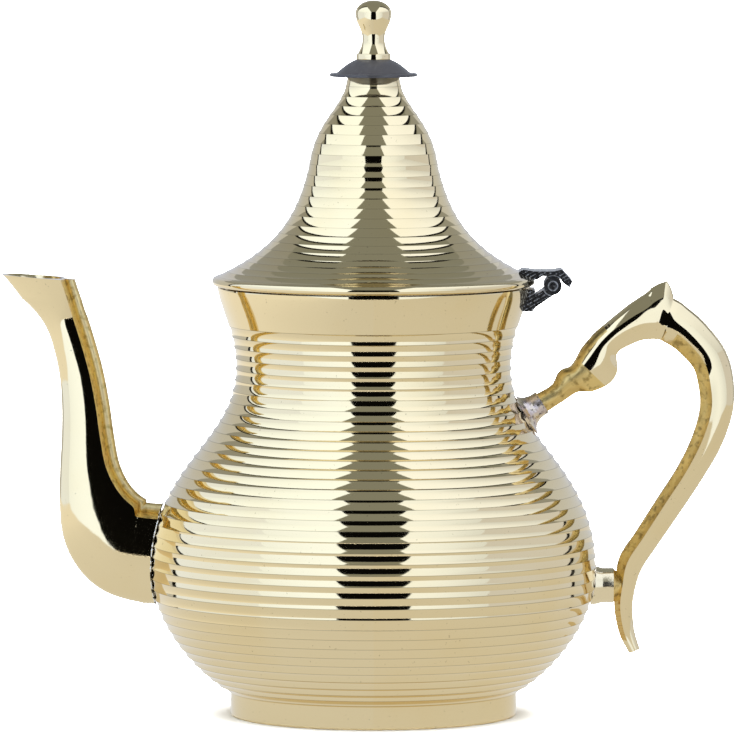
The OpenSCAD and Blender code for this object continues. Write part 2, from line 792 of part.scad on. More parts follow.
module knob_washer() {
    color("silver") translate([0, 0, lid_top_z - lid_top_wall - washer_t]) difference() {
        cylinder(h = washer_t, r = 1.3 * screw_d, $fn = 48);
        translate([0, 0, -1]) cylinder(h = washer_t + 2, r = screw_hole_r, $fn = 32);
    }
}

// Pan-head screw from inside the lid, through the washer, the lid and the disc into the knob.
module knob_screw() {
    head_h = 0.65 * screw_d;
    slot_w = 0.25 * screw_d;
    tip_gap = 0.5;
    top = knob_z + screw_depth - tip_gap;
    seat = lid_top_z - lid_top_wall - washer_t;
    color("silver") difference() {
        union() {
            translate([0, 0, seat - head_h]) cylinder(h = head_h, r = 0.95 * screw_d, $fn = 48);
            translate([0, 0, seat - head_h / 2])
                cylinder(h = top - seat + head_h / 2, d = screw_d, $fn = 32);
        }
        translate([-2 * screw_d, -slot_w / 2, seat - head_h - 1])
            cube([4 * screw_d, slot_w, head_h / 2 + 1]);
    }
}

foot_ring();
base_plate();
body_shell();
spout_left_half();
spout_right_half();
handle_lower_sleeve();
handle_upper_socket();
handle();
hinge_bracket();
hinge_pin();
lid_shell();
lid_collar();
lid_hinge_leaf();
insulator_disc();
knob();
knob_washer();
knob_screw();
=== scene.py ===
"""Dresses the fluted brass teapot: spun shells, cast spout and handle, hinge, knob and studio.

All sizes of the object are in millimetres, in the frame of the construction model, and become
metres when a mesh is made. Sizes of materials, lights and the room are in metres.
"""

import logging
import math
from dataclasses import dataclass, field
from enum import Enum, IntEnum
from typing import Callable, Optional, Sequence, Union

import bmesh
import bpy
import numpy as np
from mathutils import Matrix, Vector


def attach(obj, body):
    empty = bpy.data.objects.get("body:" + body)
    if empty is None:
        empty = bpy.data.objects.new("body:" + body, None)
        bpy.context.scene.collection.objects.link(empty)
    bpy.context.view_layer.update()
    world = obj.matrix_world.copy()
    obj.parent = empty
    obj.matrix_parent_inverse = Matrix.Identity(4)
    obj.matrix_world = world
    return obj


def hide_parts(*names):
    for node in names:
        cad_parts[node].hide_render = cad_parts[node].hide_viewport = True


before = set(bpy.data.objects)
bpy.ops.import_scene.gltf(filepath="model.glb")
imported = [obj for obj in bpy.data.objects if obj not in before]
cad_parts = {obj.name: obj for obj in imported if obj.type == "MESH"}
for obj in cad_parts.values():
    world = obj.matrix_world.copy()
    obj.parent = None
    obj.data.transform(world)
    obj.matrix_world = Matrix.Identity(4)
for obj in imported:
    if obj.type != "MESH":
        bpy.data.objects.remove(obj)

LOG = logging.getLogger("teapot")
MM = 0.001
TAU = 2 * math.pi

Pair = tuple[float, float]
Triple = tuple[float, float, float]
Colour = Triple


class Body(Enum):
    """The two moving bodies."""

    POT = "pot"
    LID = "lid"


class Slot(Enum):
    """The record's material slots; the script's own pieces don't use them."""

    BODY = "body_brass"
    FOOT = "foot_brass"
    SPOUT = "spout_brass"
    HANDLE = "handle_brass"
    LID = "lid_brass"
    KNOB = "knob_brass"
    DISC = "disc_black"


# ---------------------------------------------------------------- shader building


class Field:
    """A shader socket that adds Math nodes when it is used in an expression."""

    def __init__(self, graph: "Graph", socket: bpy.types.NodeSocket) -> None:
        """Wraps one output socket.

        Args:
            graph: The graph that new nodes go into.
            socket: The output socket that carries the value.
        """
        self.graph = graph
        self.socket = socket

    def _math(self, operation: str, *values: object) -> "Field":
        """Adds one Math node.

        Args:
            operation: The Math node's operation.
            values: Its inputs, as fields or numbers.

        Returns:
            The node's value.
        """
        sockets = dict(enumerate(values))
        return self.graph.node("ShaderNodeMath", sockets, operation=operation).out()

    def __add__(self, other: object) -> "Field":
        """self + other."""
        return self._math("ADD", self, other)

    __radd__ = __add__

    def __sub__(self, other: object) -> "Field":
        """self - other."""
        return self._math("SUBTRACT", self, other)

    def __rsub__(self, other: object) -> "Field":
        """other - self."""
        return self._math("SUBTRACT", other, self)

    def __mul__(self, other: object) -> "Field":
        """self * other."""
        return self._math("MULTIPLY", self, other)

    __rmul__ = __mul__

    def __truediv__(self, other: object) -> "Field":
        """self / other."""
        return self._math("DIVIDE", self, other)

    def __rtruediv__(self, other: object) -> "Field":
        """other / self."""
        return self._math("DIVIDE", other, self)

    def __abs__(self) -> "Field":
        """The value without its sign."""
        return self._math("ABSOLUTE", self)

    def power(self, exponent: float) -> "Field":
        """self to a power."""
        return self._math("POWER", self, exponent)

    def sine(self) -> "Field":
        """The sine of the value."""
        return self._math("SINE", self)

    def cosine(self) -> "Field":
        """The cosine of the value."""
        return self._math("COSINE", self)

    def rounded(self) -> "Field":
        """The nearest whole number."""
        return self._math("ROUND", self)

    def fraction(self) -> "Field":
        """The part after the decimal point."""
        return self._math("FRACT", self)

    def above(self, threshold: float) -> "Field":
        """1 where self is over the threshold, else 0."""
        return self._math("GREATER_THAN", self, threshold)

    def ramp(self, low: float, high: float) -> "Field":
        """0 at low, 1 at high, clamped and eased between.

        Args:
            low: The value that gives 0.
            high: The value that gives 1.

        Returns:
            The eased value.
        """
        values = {"Value": self, "From Min": low, "From Max": high}
        return self.graph.node("ShaderNodeMapRange", values,
                               interpolation_type="SMOOTHSTEP").out("Result")


class Made:
    """A node that was just made."""

    def __init__(self, graph: "Graph", node: bpy.types.Node) -> None:
        """Keeps the node and its graph."""
        self.graph = graph
        self.node = node

    def out(self, name: Union[str, int] = 0) -> Field:
        """One output of the node, by name or number."""
        return Field(self.graph, self.node.outputs[name])


class Graph:
    """A node tree with one method that makes any node."""

    def __init__(self, tree: bpy.types.NodeTree) -> None:
        """Wraps a node tree."""
        self.tree = tree

    def node(self, kind: str, values: Optional[dict] = None, **settings: object) -> Made:
        """Makes a node, sets its settings first and then its sockets.

        Args:
            kind: The node's type name.
            values: Socket names or numbers with numbers, tuples, fields or materials.
            settings: Attributes of the node.

        Returns:
            The made node.
        """
        node = self.tree.nodes.new(kind)
        for name, value in settings.items():
            setattr(node, name, value)
        self.feed(node, values or {})
        return Made(self, node)

    def feed(self, node: bpy.types.Node, values: dict) -> None:
        """Sets or links sockets of a node.

        Args:
            node: The node.
            values: Socket names or numbers with numbers, tuples, fields or materials.
        """
        for name, value in values.items():
            if isinstance(value, Field):
                self.tree.links.new(value.socket, node.inputs[name])
            else:
                node.inputs[name].default_value = value

    def noise(self, scale: float, detail: float = 3, stretch: Triple = (1, 1, 1)) -> Field:
        """Noise on object coordinates.

        Args:
            scale: Features per metre.
            detail: Octaves.
            stretch: Factors on the three axes.

        Returns:
            The noise, from 0 to 1 about 0.5.
        """
        place = self.node("ShaderNodeTexCoord").out("Object")
        if stretch != (1, 1, 1):
            place = self.node("ShaderNodeMapping", {"Vector": place, "Scale": stretch}).out()
        values = {"Vector": place, "Scale": scale, "Detail": detail}
        return self.node("ShaderNodeTexNoise", values).out("Fac")

    def parts(self, vector: Field) -> tuple[Field, Field, Field]:
        """The x, y and z of a vector."""
        split = self.node("ShaderNodeSeparateXYZ", {0: vector})
        return split.out("X"), split.out("Y"), split.out("Z")

    def place(self) -> tuple[Field, Field, Field]:
        """The x, y and z of the shaded point on its own piece, in metres."""
        return self.parts(self.node("ShaderNodeTexCoord").out("Object"))

    def upward(self) -> Field:
        """How far the surface faces up, from minus one to one."""
        return self.parts(self.node("ShaderNodeNewGeometry").out("Normal"))[2]

    def attribute(self, name: str) -> Field:
        """A float attribute of the piece, by name."""
        return self.node("ShaderNodeAttribute", attribute_name=name).out("Fac")

    def blend(self, share: Field, first: object, second: object) -> Field:
        """Mixes two colours.

        Args:
            share: The share of the second colour.
            first: A colour or a colour field.
            second: A colour or a colour field.

        Returns:
            The mixed colour.
        """
        rgba = [c if isinstance(c, Field) else (*c, 1) for c in (first, second)]
        return self.node("ShaderNodeMix", {0: share, 6: rgba[0], 7: rgba[1]}, data_type="RGBA",
                         blend_type="MIX", clamp_factor=True).out(2)

    def bump(self, height: Field, depth: float, under: Optional[Field] = None) -> Field:
        """A Bump node.

        Args:
            height: The height, from 0 to 1.
            depth: The depth of a height of 1, in metres.
            under: A normal to build on.

        Returns:
            The normal.
        """
        values: dict = {"Height": height, "Distance": depth, "Strength": 1.0}
        if under is not None:
            values["Normal"] = under
        return self.node("ShaderNodeBump", values).out("Normal")


@dataclass(frozen=True)
class Mask:
    """A mask made from noise: it rises from 0 to 1 between two levels of the noise."""

    scale: float
    detail: float
    low: float
    high: float
    stretch: Triple = (1, 1, 1)

    def on(self, graph: Graph) -> Field:
        """The mask as a field of a graph."""
        return graph.noise(self.scale, self.detail, self.stretch).ramp(self.low, self.high)


# ---------------------------------------------------------------- finishes


@dataclass(frozen=True)
class Finish:
    """A named material; each kind of finish says what feeds the Principled shader."""

    name: str

    def sockets(self, graph: Graph) -> dict:
        """Works out the shader's inputs.

        Args:
            graph: The material's graph.

        Returns:
            Values and fields by socket name.
        """
        raise NotImplementedError

    def make(self) -> bpy.types.Material:
        """Builds the material.

        Returns:
            The finished material.
        """
        material = bpy.data.materials.new(self.name)
        material.use_nodes = True
        graph = Graph(material.node_tree)
        shader = next(n for n in material.node_tree.nodes if n.type == "BSDF_PRINCIPLED")
        graph.feed(shader, self.sockets(graph))
        return material


def metal(colour: Field, rough: Field, normal: Field) -> dict:
    """The shader's inputs for a metal."""
    return {"Base Color": colour, "Roughness": rough, "Metallic": 1.0, "Normal": normal}


@dataclass(frozen=True)
class PolishedBrass(Finish):
    """Mirror-polished brass: soft waviness, faint wipe marks, dull sharp ridges with painted shade.
    """

    tint: Colour = (0.80, 0.655, 0.385)
    warmth: Colour = (0.985, 0.93, 0.80)
    tarnish_and_shade: Colour = (0.16, 0.125, 0.065)
    roughness: float = 0.045
    wave_depth: float = 0.00012
    wave_scale: float = 45.0
    grain_depth: float = 0.0000012
    grain_scale: float = 2600.0
    grain_stretch: Triple = (1, 1, 3)
    patches: Mask = Mask(28, 4, 0.45, 0.80)
    patch_share: float = 0.55
    patch_rough: float = 0.012
    specks: Mask = Mask(900, 2, 0.70, 0.76)
    speck_share: float = 0.35
    wipes: Mask = Mask(240, 3, 0.40, 0.75, (1, 1, 9))
    wipe_rough: float = 0.018
    ridges: bool = False
    ridge_start: float = 0.80
    ridge_shade_share: float = 0.55
    ridge_rough: float = 0.12

    def sockets(self, graph: Graph) -> dict:
        """Lays warm patches, specks, wipe marks, painted shade on the ridges and grain over the
        tint.

        Args:
            graph: The material's graph.

        Returns:
            Values and fields by socket name.
        """
        patches, wipes = self.patches.on(graph), self.wipes.on(graph)
        warm = tuple(c * k for c, k in zip(self.tint, self.warmth))
        colour = graph.blend(patches * self.patch_share, self.tint, warm)
        colour = graph.blend(self.specks.on(graph) * self.speck_share, colour, self.tarnish_and_shade)
        rough = wipes * self.wipe_rough + patches * self.patch_rough + self.roughness
        # painted shade: flute ridges are darkened; their extra roughness is real dullness
        if self.ridges:
            ridge = graph.attribute("ridge").ramp(self.ridge_start, 1.0)
            colour = graph.blend(ridge * self.ridge_shade_share, colour, self.tarnish_and_shade)
            rough = rough + ridge * self.ridge_rough
        waves = graph.bump(graph.noise(self.wave_scale, 2), self.wave_depth)
        grain = graph.noise(self.grain_scale, 2, self.grain_stretch)
        return metal(colour, rough, graph.bump(grain, self.grain_depth, waves))


@dataclass(frozen=True)
class RoughBrass(Finish):
    """Unpolished cast brass: deep gold, pitted, with dark hollows.

    The fine pits' depth is a share of the large ones'.
    """

    gold: Colour
    shade: Colour
    pit_depth: float
    roughness: float = 0.34
    lump_scale: float = 420.0
    fine_scale: float = 1700.0
    fine_rough: float = 0.22
    fine_depth: float = 0.25
    hollow_share: float = 0.75
    hollow_rough: float = 0.15
    bright: Mask = Mask(160, 2, 0.45, 0.75)
    bright_share: float = 0.6
    bright_gain: float = 1.25

    def sockets(self, graph: Graph) -> dict:
        """Brightens patches, darkens the hollows between lumps and adds fine pits.

        Args:
            graph: The material's graph.

        Returns:
            Values and fields by socket name.
        """
        lumps, fine = graph.noise(self.lump_scale, 4), graph.noise(self.fine_scale, 3)
        hollows = lumps.ramp(0.52, 0.30)
        pale = tuple(min(1.0, c * self.bright_gain) for c in self.gold)
        colour = graph.blend(self.bright.on(graph) * self.bright_share, self.gold, pale)
        colour = graph.blend(hollows * self.hollow_share, colour, self.shade)
        level = self.roughness - self.fine_rough / 2
        rough = fine * self.fine_rough + hollows * self.hollow_rough + level
        relief = graph.bump(lumps, self.pit_depth)
        return metal(colour, rough, graph.bump(fine, self.pit_depth * self.fine_depth, relief))


@dataclass(frozen=True)
class HeatedBrass(Finish):
    """Brass by a brazed joint: pinkish grey scale and soot over a polished ground."""

    ground: Colour = (0.72, 0.60, 0.42)
    scale_tint: Colour = (0.62, 0.52, 0.46)
    soot_tint: Colour = (0.09, 0.075, 0.06)
    scale: Mask = Mask(330, 4, 0.42, 0.60)
    soot: Mask = Mask(620, 4, 0.56, 0.70)
    relief_scale: float = 700.0
    relief_depth: float = 0.00012

    def sockets(self, graph: Graph) -> dict:
        """Lays scale and then soot over the ground.

        Args:
            graph: The material's graph.

        Returns:
            Values and fields by socket name.
        """
        scale, soot = self.scale.on(graph), self.soot.on(graph)
        colour = graph.blend(scale, self.ground, self.scale_tint)
        colour = graph.blend(soot * 0.85, colour, self.soot_tint)
        relief = graph.bump(graph.noise(self.relief_scale, 3), self.relief_depth)
        return metal(colour, scale * 0.16 + soot * 0.2 + 0.16, relief)


@dataclass(frozen=True)
class AntiquedMetal(Finish):
    """Dark cast metal, engraved and worn grey, with a painted highlight where it faces up.

    The rings lie round the centre, a place in x and z, and the hatching lies beyond them.
    """

    dark: Colour = (0.045, 0.042, 0.038)
    worn_and_lit_grey: Colour = (0.62, 0.61, 0.57)
    lump_scale: float = 800.0
    lump_depth: float = 0.0002
    rub_share: float = 0.35
    line_share: float = 0.65
    lit_top_share: float = 0.85
    centre: Pair = (0.0625, 0.1507)
    ring_step: float = 0.0019
    ring_phase: float = 2.56
    ring_end: float = 0.0042
    hatch_step: float = 0.0013
    hatch_slope: float = 0.55

    def sockets(self, graph: Graph) -> dict:
        """Engraves rings and hatching, wears the lumps grey and paints a highlight on upper faces.

        Args:
            graph: The material's graph.

        Returns:
            Values and fields by socket name.
        """
        lumps = graph.noise(self.lump_scale, 4)
        x, _, z = graph.place()
        across, along = x - self.centre[0], z - self.centre[1]
        radius = (across * across + along * along).power(0.5)
        beyond = radius.above(self.ring_end)
        rings = (radius * (TAU / self.ring_step) + self.ring_phase).sine().ramp(0.62, 0.86)
        slant = across * self.hatch_slope - along
        hatch = (slant * (TAU / self.hatch_step)).sine().ramp(0.66, 0.90)
        lines = rings * (1 - beyond) + hatch * beyond * lumps.ramp(0.40, 0.55)
        # painted highlight: faces that point up are blended towards pale grey
        rub, top = lumps.ramp(0.56, 0.72), graph.upward().ramp(0.45, 0.80)
        share = rub * self.rub_share + lines * self.line_share + top * self.lit_top_share
        rough = graph.noise(1500, 2) * 0.2 + 0.24
        relief = graph.bump(lumps, self.lump_depth)
        return metal(graph.blend(share, self.dark, self.worn_and_lit_grey), rough, relief)


@dataclass(frozen=True)
class SatinPlastic(Finish):
    """Black moulded plastic with a satin surface, fine scuffs and dust."""

    base: Colour = (0.012, 0.012, 0.014)
    dust: Colour = (0.05, 0.05, 0.055)
    scuffs: Mask = Mask(1300, 3, 0.55, 0.75, (1, 1, 4))
    relief_depth: float = 0.00002

    def sockets(self, graph: Graph) -> dict:
        """Dulls and dusts the surface along its scuffs.

        Args:
            graph: The material's graph.

        Returns:
            Values and fields by socket name.
        """
        scuffs = self.scuffs.on(graph)
        return {"Base Color": graph.blend(scuffs * 0.5, self.base, self.dust),
                "Roughness": graph.noise(500, 3) * 0.12 + scuffs * 0.1 + 0.26,
                "Normal": graph.bump(graph.noise(2400, 2), self.relief_depth)}


@dataclass(frozen=True)
class TurnedSteel(Finish):
    """Plain steel of small fasteners, with fine turning marks."""

    tint: Colour = (0.55, 0.55, 0.56)
    mark_scale: float = 1800.0
    mark_stretch: Triple = (1, 1, 0.1)
    mark_depth: float = 0.00002

    def sockets(self, graph: Graph) -> dict:
        """Darkens, dulls and cuts the surface along its turning marks.

        Args:
            graph: The material's graph.

        Returns:
            Values and fields by socket name.
        """
        marks = graph.noise(self.mark_scale, 2, self.mark_stretch)
        darker = tuple(c * 0.8 for c in self.tint)
        colour = graph.blend(marks.ramp(0.5, 0.8), self.tint, darker)
        return metal(colour, marks * 0.15 + 0.22, graph.bump(marks, self.mark_depth))


@dataclass(frozen=True)
class Solder(Finish):
    """Beads of solder, silvery with sooty gaps."""

    silver: Colour = (0.80, 0.79, 0.74)
    soot_tint: Colour = (0.05, 0.045, 0.035)
    soot: Mask = Mask(650, 2, 0.50, 0.56)
    relief_depth: float = 0.0001

    def sockets(self, graph: Graph) -> dict:
        """Lays soot over the silver.

        Args:
            graph: The material's graph.

        Returns:
            Values and fields by socket name.
        """
        colour = graph.blend(self.soot.on(graph), self.silver, self.soot_tint)
        rough = graph.noise(900, 2) * 0.2 + 0.16
        return metal(colour, rough, graph.bump(graph.noise(1500, 2), self.relief_depth))


class Finishes:
    """Every material of the teapot, made once."""

    def __init__(self) -> None:
        """Makes the materials."""
        # ridges=True adds painted shade along the flute ridges of the body and the lid
        self.body = PolishedBrass("spun_body_brass", ridges=True).make()
        self.lid = PolishedBrass("spun_lid_brass", ridges=True, ridge_start=0.88).make()
        self.turned = PolishedBrass("turned_brass", wave_depth=0.00002).make()
        self.inside = PolishedBrass("inner_brass", roughness=0.16).make()
        self.cast = PolishedBrass("polished_cast_brass", wave_depth=0.0001,
                                  wave_scale=70.0).make()
        self.rough = RoughBrass("rough_cast_brass", gold=(0.74, 0.54, 0.20),
                                shade=(0.28, 0.18, 0.05), pit_depth=0.00012).make()
        self.braze = RoughBrass("braze_groove", gold=(0.95, 0.68, 0.22), shade=(0.45, 0.29, 0.07),
                                pit_depth=0.00012, roughness=0.30).make()
        self.ridge = RoughBrass("filed_ridge", gold=(0.82, 0.64, 0.30), shade=(0.50, 0.36, 0.13),
                                pit_depth=0.00003, roughness=0.38).make()
        self.joint = PolishedBrass("joint_brass", tint=(0.82, 0.69, 0.44), roughness=0.16,
                                   wave_depth=0.00008, wave_scale=300.0).make()
        self.shaded = PolishedBrass("shaded_band_brass", tint=(0.16, 0.135, 0.08),
                                    roughness=0.2).make()
        self.heated = HeatedBrass("heated_brass").make()
        self.dark = AntiquedMetal("antiqued_hinge_metal").make()
        self.black = SatinPlastic("black_plastic").make()
        self.steel = TurnedSteel("fastener_steel").make()
        self.solder = Solder("silver_solder").make()


# ---------------------------------------------------------------- profiles


def bezier(points: Sequence[Pair], count: int) -> list[np.ndarray]:
    """Points along one cubic curve, without its end.

    Args:
        points: The four control points.
        count: How many points.

    Returns:
        The points.
    """
    a, b, c, d = (np.array(p, float) for p in points)
    steps = [i / count for i in range(count)]
    return [(1 - t) ** 3 * a + 3 * (1 - t) ** 2 * t * b + 3 * (1 - t) * t * t * c + t**3 * d
            for t in steps]


def arc(centre: Pair, radius: float, start: float, end: float, count: int) -> list[np.ndarray]:
    """Points on an arc, both ends included.

    Args:
        centre: The arc's centre.
        radius: Its radius.
        start: First angle in degrees.
        end: Last angle in degrees.
        count: Number of steps.

    Returns:
        The points.
    """
    angles = [math.radians(start + (end - start) * i / count) for i in range(count + 1)]
    return [np.array([centre[0] + radius * math.cos(a), centre[1] + radius * math.sin(a)])
            for a in angles]


class CrestLine:
    """A smooth outline of a turned wall, measured along its length."""

    def __init__(self, points: Sequence[np.ndarray]) -> None:
        """Measures the outline.

        Args:
            points: Radius and height of many points, from the foot up.
        """
        self.points = np.array(points, float)
        steps = np.linalg.norm(np.diff(self.points, axis=0), axis=1)
        self.lengths = np.concatenate([[0.0], np.cumsum(steps)])
        self.length = float(self.lengths[-1])

    def at(self, s: float) -> np.ndarray:
        """The point at a length along the line."""
        return np.array([np.interp(s, self.lengths, self.points[:, k]) for k in (0, 1)])

    def inward(self, s: float, step: float = 0.4) -> np.ndarray:
        """The unit normal into the vessel.

        Args:
            s: Length along the line.
            step: How far on either side of it the slope is measured.

        Returns:
            The normal in radius and height.
        """
        d = self.at(min(s + step, self.length)) - self.at(max(s - step, 0.0))
        return np.array([-d[1], d[0]]) / np.linalg.norm(d)

    def inset(self, start: float, end: float, distance: float, count: int) -> list[np.ndarray]:
        """The line moved inward.

        Args:
            start: Length at which it starts.
            end: Length at which it ends.
            distance: How far it moves inward.
            count: Number of steps.

        Returns:
            The moved points.
        """
        places = [start + (end - start) * i / count for i in range(count + 1)]
        return [self.at(s) + distance * self.inward(s) for s in places]

    def radius_at(self, height: float) -> float:
        """The radius at a height."""
        return float(np.interp(height, self.points[:, 1], self.points[:, 0]))


@dataclass
class ProfilePoint:
    """One point of a turned outline; along is the length into the flutes, or None outside them."""

    place: np.ndarray
    inward: np.ndarray = field(default_factory=lambda: np.zeros(2))
    along: Optional[float] = None


def plain(points: Sequence[Sequence[float]]) -> list[ProfilePoint]:
    """Profile points without flutes."""
    return [ProfilePoint(np.array(p, float)) for p in points]


# ---------------------------------------------------------------- pieces


def new_piece(name: str, points: Sequence[Sequence[float]], edges: Sequence[tuple[int, int]] = (),
              faces: Sequence[Sequence[int]] = ()) -> bpy.types.Object:
    """Puts a mesh into the scene as an object at the origin.

    Args:
        name: The piece's name.
        points: Its points, in metres.
        edges: Loose edges as point numbers.
        faces: Faces as point numbers.

    Returns:
        The object.
    """
    mesh = bpy.data.meshes.new(name)
    mesh.from_pydata([tuple(float(c) for c in p) for p in points], list(edges), list(faces))
    piece = bpy.data.objects.new(name, mesh)
    bpy.context.scene.collection.objects.link(piece)
    return piece


def path_edges(count: int) -> list[tuple[int, int]]:
    """The edges of an open path through a number of points."""
    return [(i, i + 1) for i in range(count - 1)]


def bake(piece: bpy.types.Object) -> None:
    """Applies an object's modifiers through its evaluated mesh.

    Args:
        piece: The object, which is left with a plain mesh.
    """
    bpy.context.view_layer.update()
    graph = bpy.context.evaluated_depsgraph_get()
    done = bpy.data.meshes.new_from_object(
        piece.evaluated_get(graph), preserve_all_data_layers=True, depsgraph=graph)
    old = piece.data
    piece.modifiers.clear()
    piece.data = done
    done.name = piece.name
    bpy.data.meshes.remove(old)


def face_outward(mesh: bpy.types.Mesh) -> None:
    """Turns a closed mesh's faces outward.

    Args:
        mesh: The mesh.
    """
    work = bmesh.new()
    work.from_mesh(mesh)
    bmesh.ops.recalc_face_normals(work, faces=work.faces[:])
    if work.calc_volume(signed=True) < 0:
        bmesh.ops.reverse_faces(work, faces=work.faces[:])
    work.to_mesh(mesh)
    work.free()


def smooth_by_angle(mesh: bpy.types.Mesh, degrees: float) -> None:
    """Shades a mesh smooth but keeps edges over an angle sharp."""
    mesh.shade_smooth()
    mesh.set_sharp_from_angle(angle=math.radians(degrees))


def solid_piece(name: str, points: np.ndarray, faces: Sequence[Sequence[int]],
                materials: Sequence[bpy.types.Material], sharp: float) -> bpy.types.Object:
    """Makes a closed piece.

    Args:
        name: The piece's name.
        points: Its points, in millimetres.
        faces: Its faces as point numbers.
        materials: Its materials; the faces have the first.
        sharp: Edges over this angle stay sharp, in degrees.

    Returns:
        The object.
    """
    piece = new_piece(name, points * MM, faces=faces)
    for material in materials:
        piece.data.materials.append(material)
    piece.data.validate()
    face_outward(piece.data)
    smooth_by_angle(piece.data, sharp)
    return piece


def settle(piece: bpy.types.Object, body: Body, nodes: Sequence[str] = ()) -> None:
    """Ties a finished piece to its body and the nodes that it stands for.

    Args:
        piece: The object.
        body: The body that carries it.
        nodes: The nodes that it replaces.
    """
    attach(piece, body.value)
    if nodes:
        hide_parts(*nodes)
    LOG.info("%s: %d faces on %s", piece.name, len(piece.data.polygons), body.value)


def dress_node(name: str, material: bpy.types.Material) -> None:
    """Gives a node of the construction model its finish.

    Args:
        name: The node's name.
        material: The material.
    """
    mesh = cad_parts[name].data
    mesh.materials.clear()
    mesh.materials.append(material)
    LOG.info("%s: dressed with %s", name, material.name)


# ---------------------------------------------------------------- geometry nodes


class Tree:
    """A Geometry Nodes tree with named inputs, which works on a piece's own mesh."""

    def __init__(self, name: str, source: str, sizes: dict[str, str]) -> None:
        """Makes the tree and its sockets.

        Args:
            name: The tree's name.
            source: The name of the input for the piece's mesh.
            sizes: The kinds of the other inputs, by name.
        """
        self.tree = bpy.data.node_groups.new(name, "GeometryNodeTree")
        self.graph = Graph(self.tree)
        face = self.tree.interface
        for title, kind in {source: "Geometry", **sizes, "Material": "Material"}.items():
            face.new_socket(title, in_out="INPUT", socket_type=f"NodeSocket{kind}")
        face.new_socket("Shape", in_out="OUTPUT", socket_type="NodeSocketGeometry")
        self.inputs = self.graph.node("NodeGroupInput")

    def close(self, shape: Field) -> None:
        """Ends the tree with real instances and the material.

        Args:
            shape: The geometry.
        """
        real = self.graph.node("GeometryNodeRealizeInstances", {"Geometry": shape})
        painted = self.graph.node("GeometryNodeSetMaterial", {
            "Geometry": real.out(), "Material": self.inputs.out("Material")})
        self.graph.node("NodeGroupOutput", {0: painted.out()})

    def run(self, piece: bpy.types.Object, values: dict) -> None:
        """Runs the tree on an object and keeps the result as its plain mesh.

        Args:
            piece: The object whose mesh is the tree's input.
            values: The tree's named inputs with their values.
        """
        modifier = piece.modifiers.new("shape", "NODES")
        modifier.node_group = self.tree
        for item in self.tree.interface.items_tree:
            if item.item_type == "SOCKET" and item.in_out == "INPUT" and item.name in values:
                modifier[item.identifier] = values[item.name]
        bake(piece)


class TurningTree(Tree):
    """Turns a profile about the axis and presses hollow flutes into it.

    The piece's own mesh is the profile: its points in order, each with the attributes "along",
    "fluted" and "inward". Named inputs give the number of segments, the pitch and depth of the
    flutes and the material. The shell has the attribute "ridge", which is 1 on the flutes'
    ridges and 0 in their hollows and outside them.
    """

    def __init__(self) -> None:
        """Builds the tree."""
        super().__init__("turned_fluted_shell", "Profile",
                         {"Segments": "Int", "Flute Pitch": "Float", "Flute Depth": "Float"})
        g, inputs = self.graph, self.inputs
        rows = g.node("GeometryNodeAttributeDomainSize", {"Geometry": inputs.out("Profile")}).out(0)
        grid = g.node("GeometryNodeMeshGrid", {
            "Size X": 1.0, "Size Y": 1.0, "Vertices X": inputs.out("Segments") + 1,
            "Vertices Y": rows})
        place = g.node("GeometryNodeInputPosition").out()
        across, along_y, _ = g.parts(place)
        angle = (across + 0.5) * TAU
        row = ((along_y + 0.5) * (rows - 1)).rounded()
        along = self._sample(row, "FLOAT", self._named("along", "FLOAT"))
        fluted = self._sample(row, "FLOAT", self._named("fluted", "FLOAT"))
        phase = (along / inputs.out("Flute Pitch")).fraction()
        ridge = (phase * 2 - 1).power(2)
        offset = (1 - ridge) * fluted * inputs.out("Flute Depth")
        inward = self._sample(row, "FLOAT_VECTOR", self._named("inward", "FLOAT_VECTOR"))
        point_x, _, point_z = g.parts(self._sample(row, "FLOAT_VECTOR", place))
        inward_x, _, inward_z = g.parts(inward)
        radius = point_x + offset * inward_x
        turned = g.node("ShaderNodeCombineXYZ", {
            "X": radius * angle.cosine(), "Y": radius * angle.sine(),
            "Z": point_z + offset * inward_z}).out()
        kept = g.node("GeometryNodeStoreNamedAttribute", {
            "Geometry": grid.out("Mesh"), "Name": "ridge", "Value": ridge * fluted},
            data_type="FLOAT", domain="POINT")
        moved = g.node("GeometryNodeSetPosition", {"Geometry": kept.out(), "Position": turned})
        merged = g.node("GeometryNodeMergeByDistance", {"Geometry": moved.out(),
                                                        "Distance": 1e-6})
        smooth = g.node("GeometryNodeSetShadeSmooth", {"Geometry": merged.out()})
        self.close(smooth.out())

    def _named(self, name: str, kind: str) -> Field:
        """A named attribute of a data type as a field."""
        return self.graph.node("GeometryNodeInputNamedAttribute", {"Name": name},
                               data_type=kind).out(0)

    def _sample(self, index: Field, kind: str, value: Field) -> Field:
        """Samples a value of the profile's points.

        Args:
            index: Which point.
            kind: The data type.
            value: The field to sample.

        Returns:
            The sampled value.
        """
        values = {"Geometry": self.inputs.out("Profile"), "Value": value, "Index": index}
        return self.graph.node("GeometryNodeSampleIndex", values, data_type=kind,
                               domain="POINT").out()


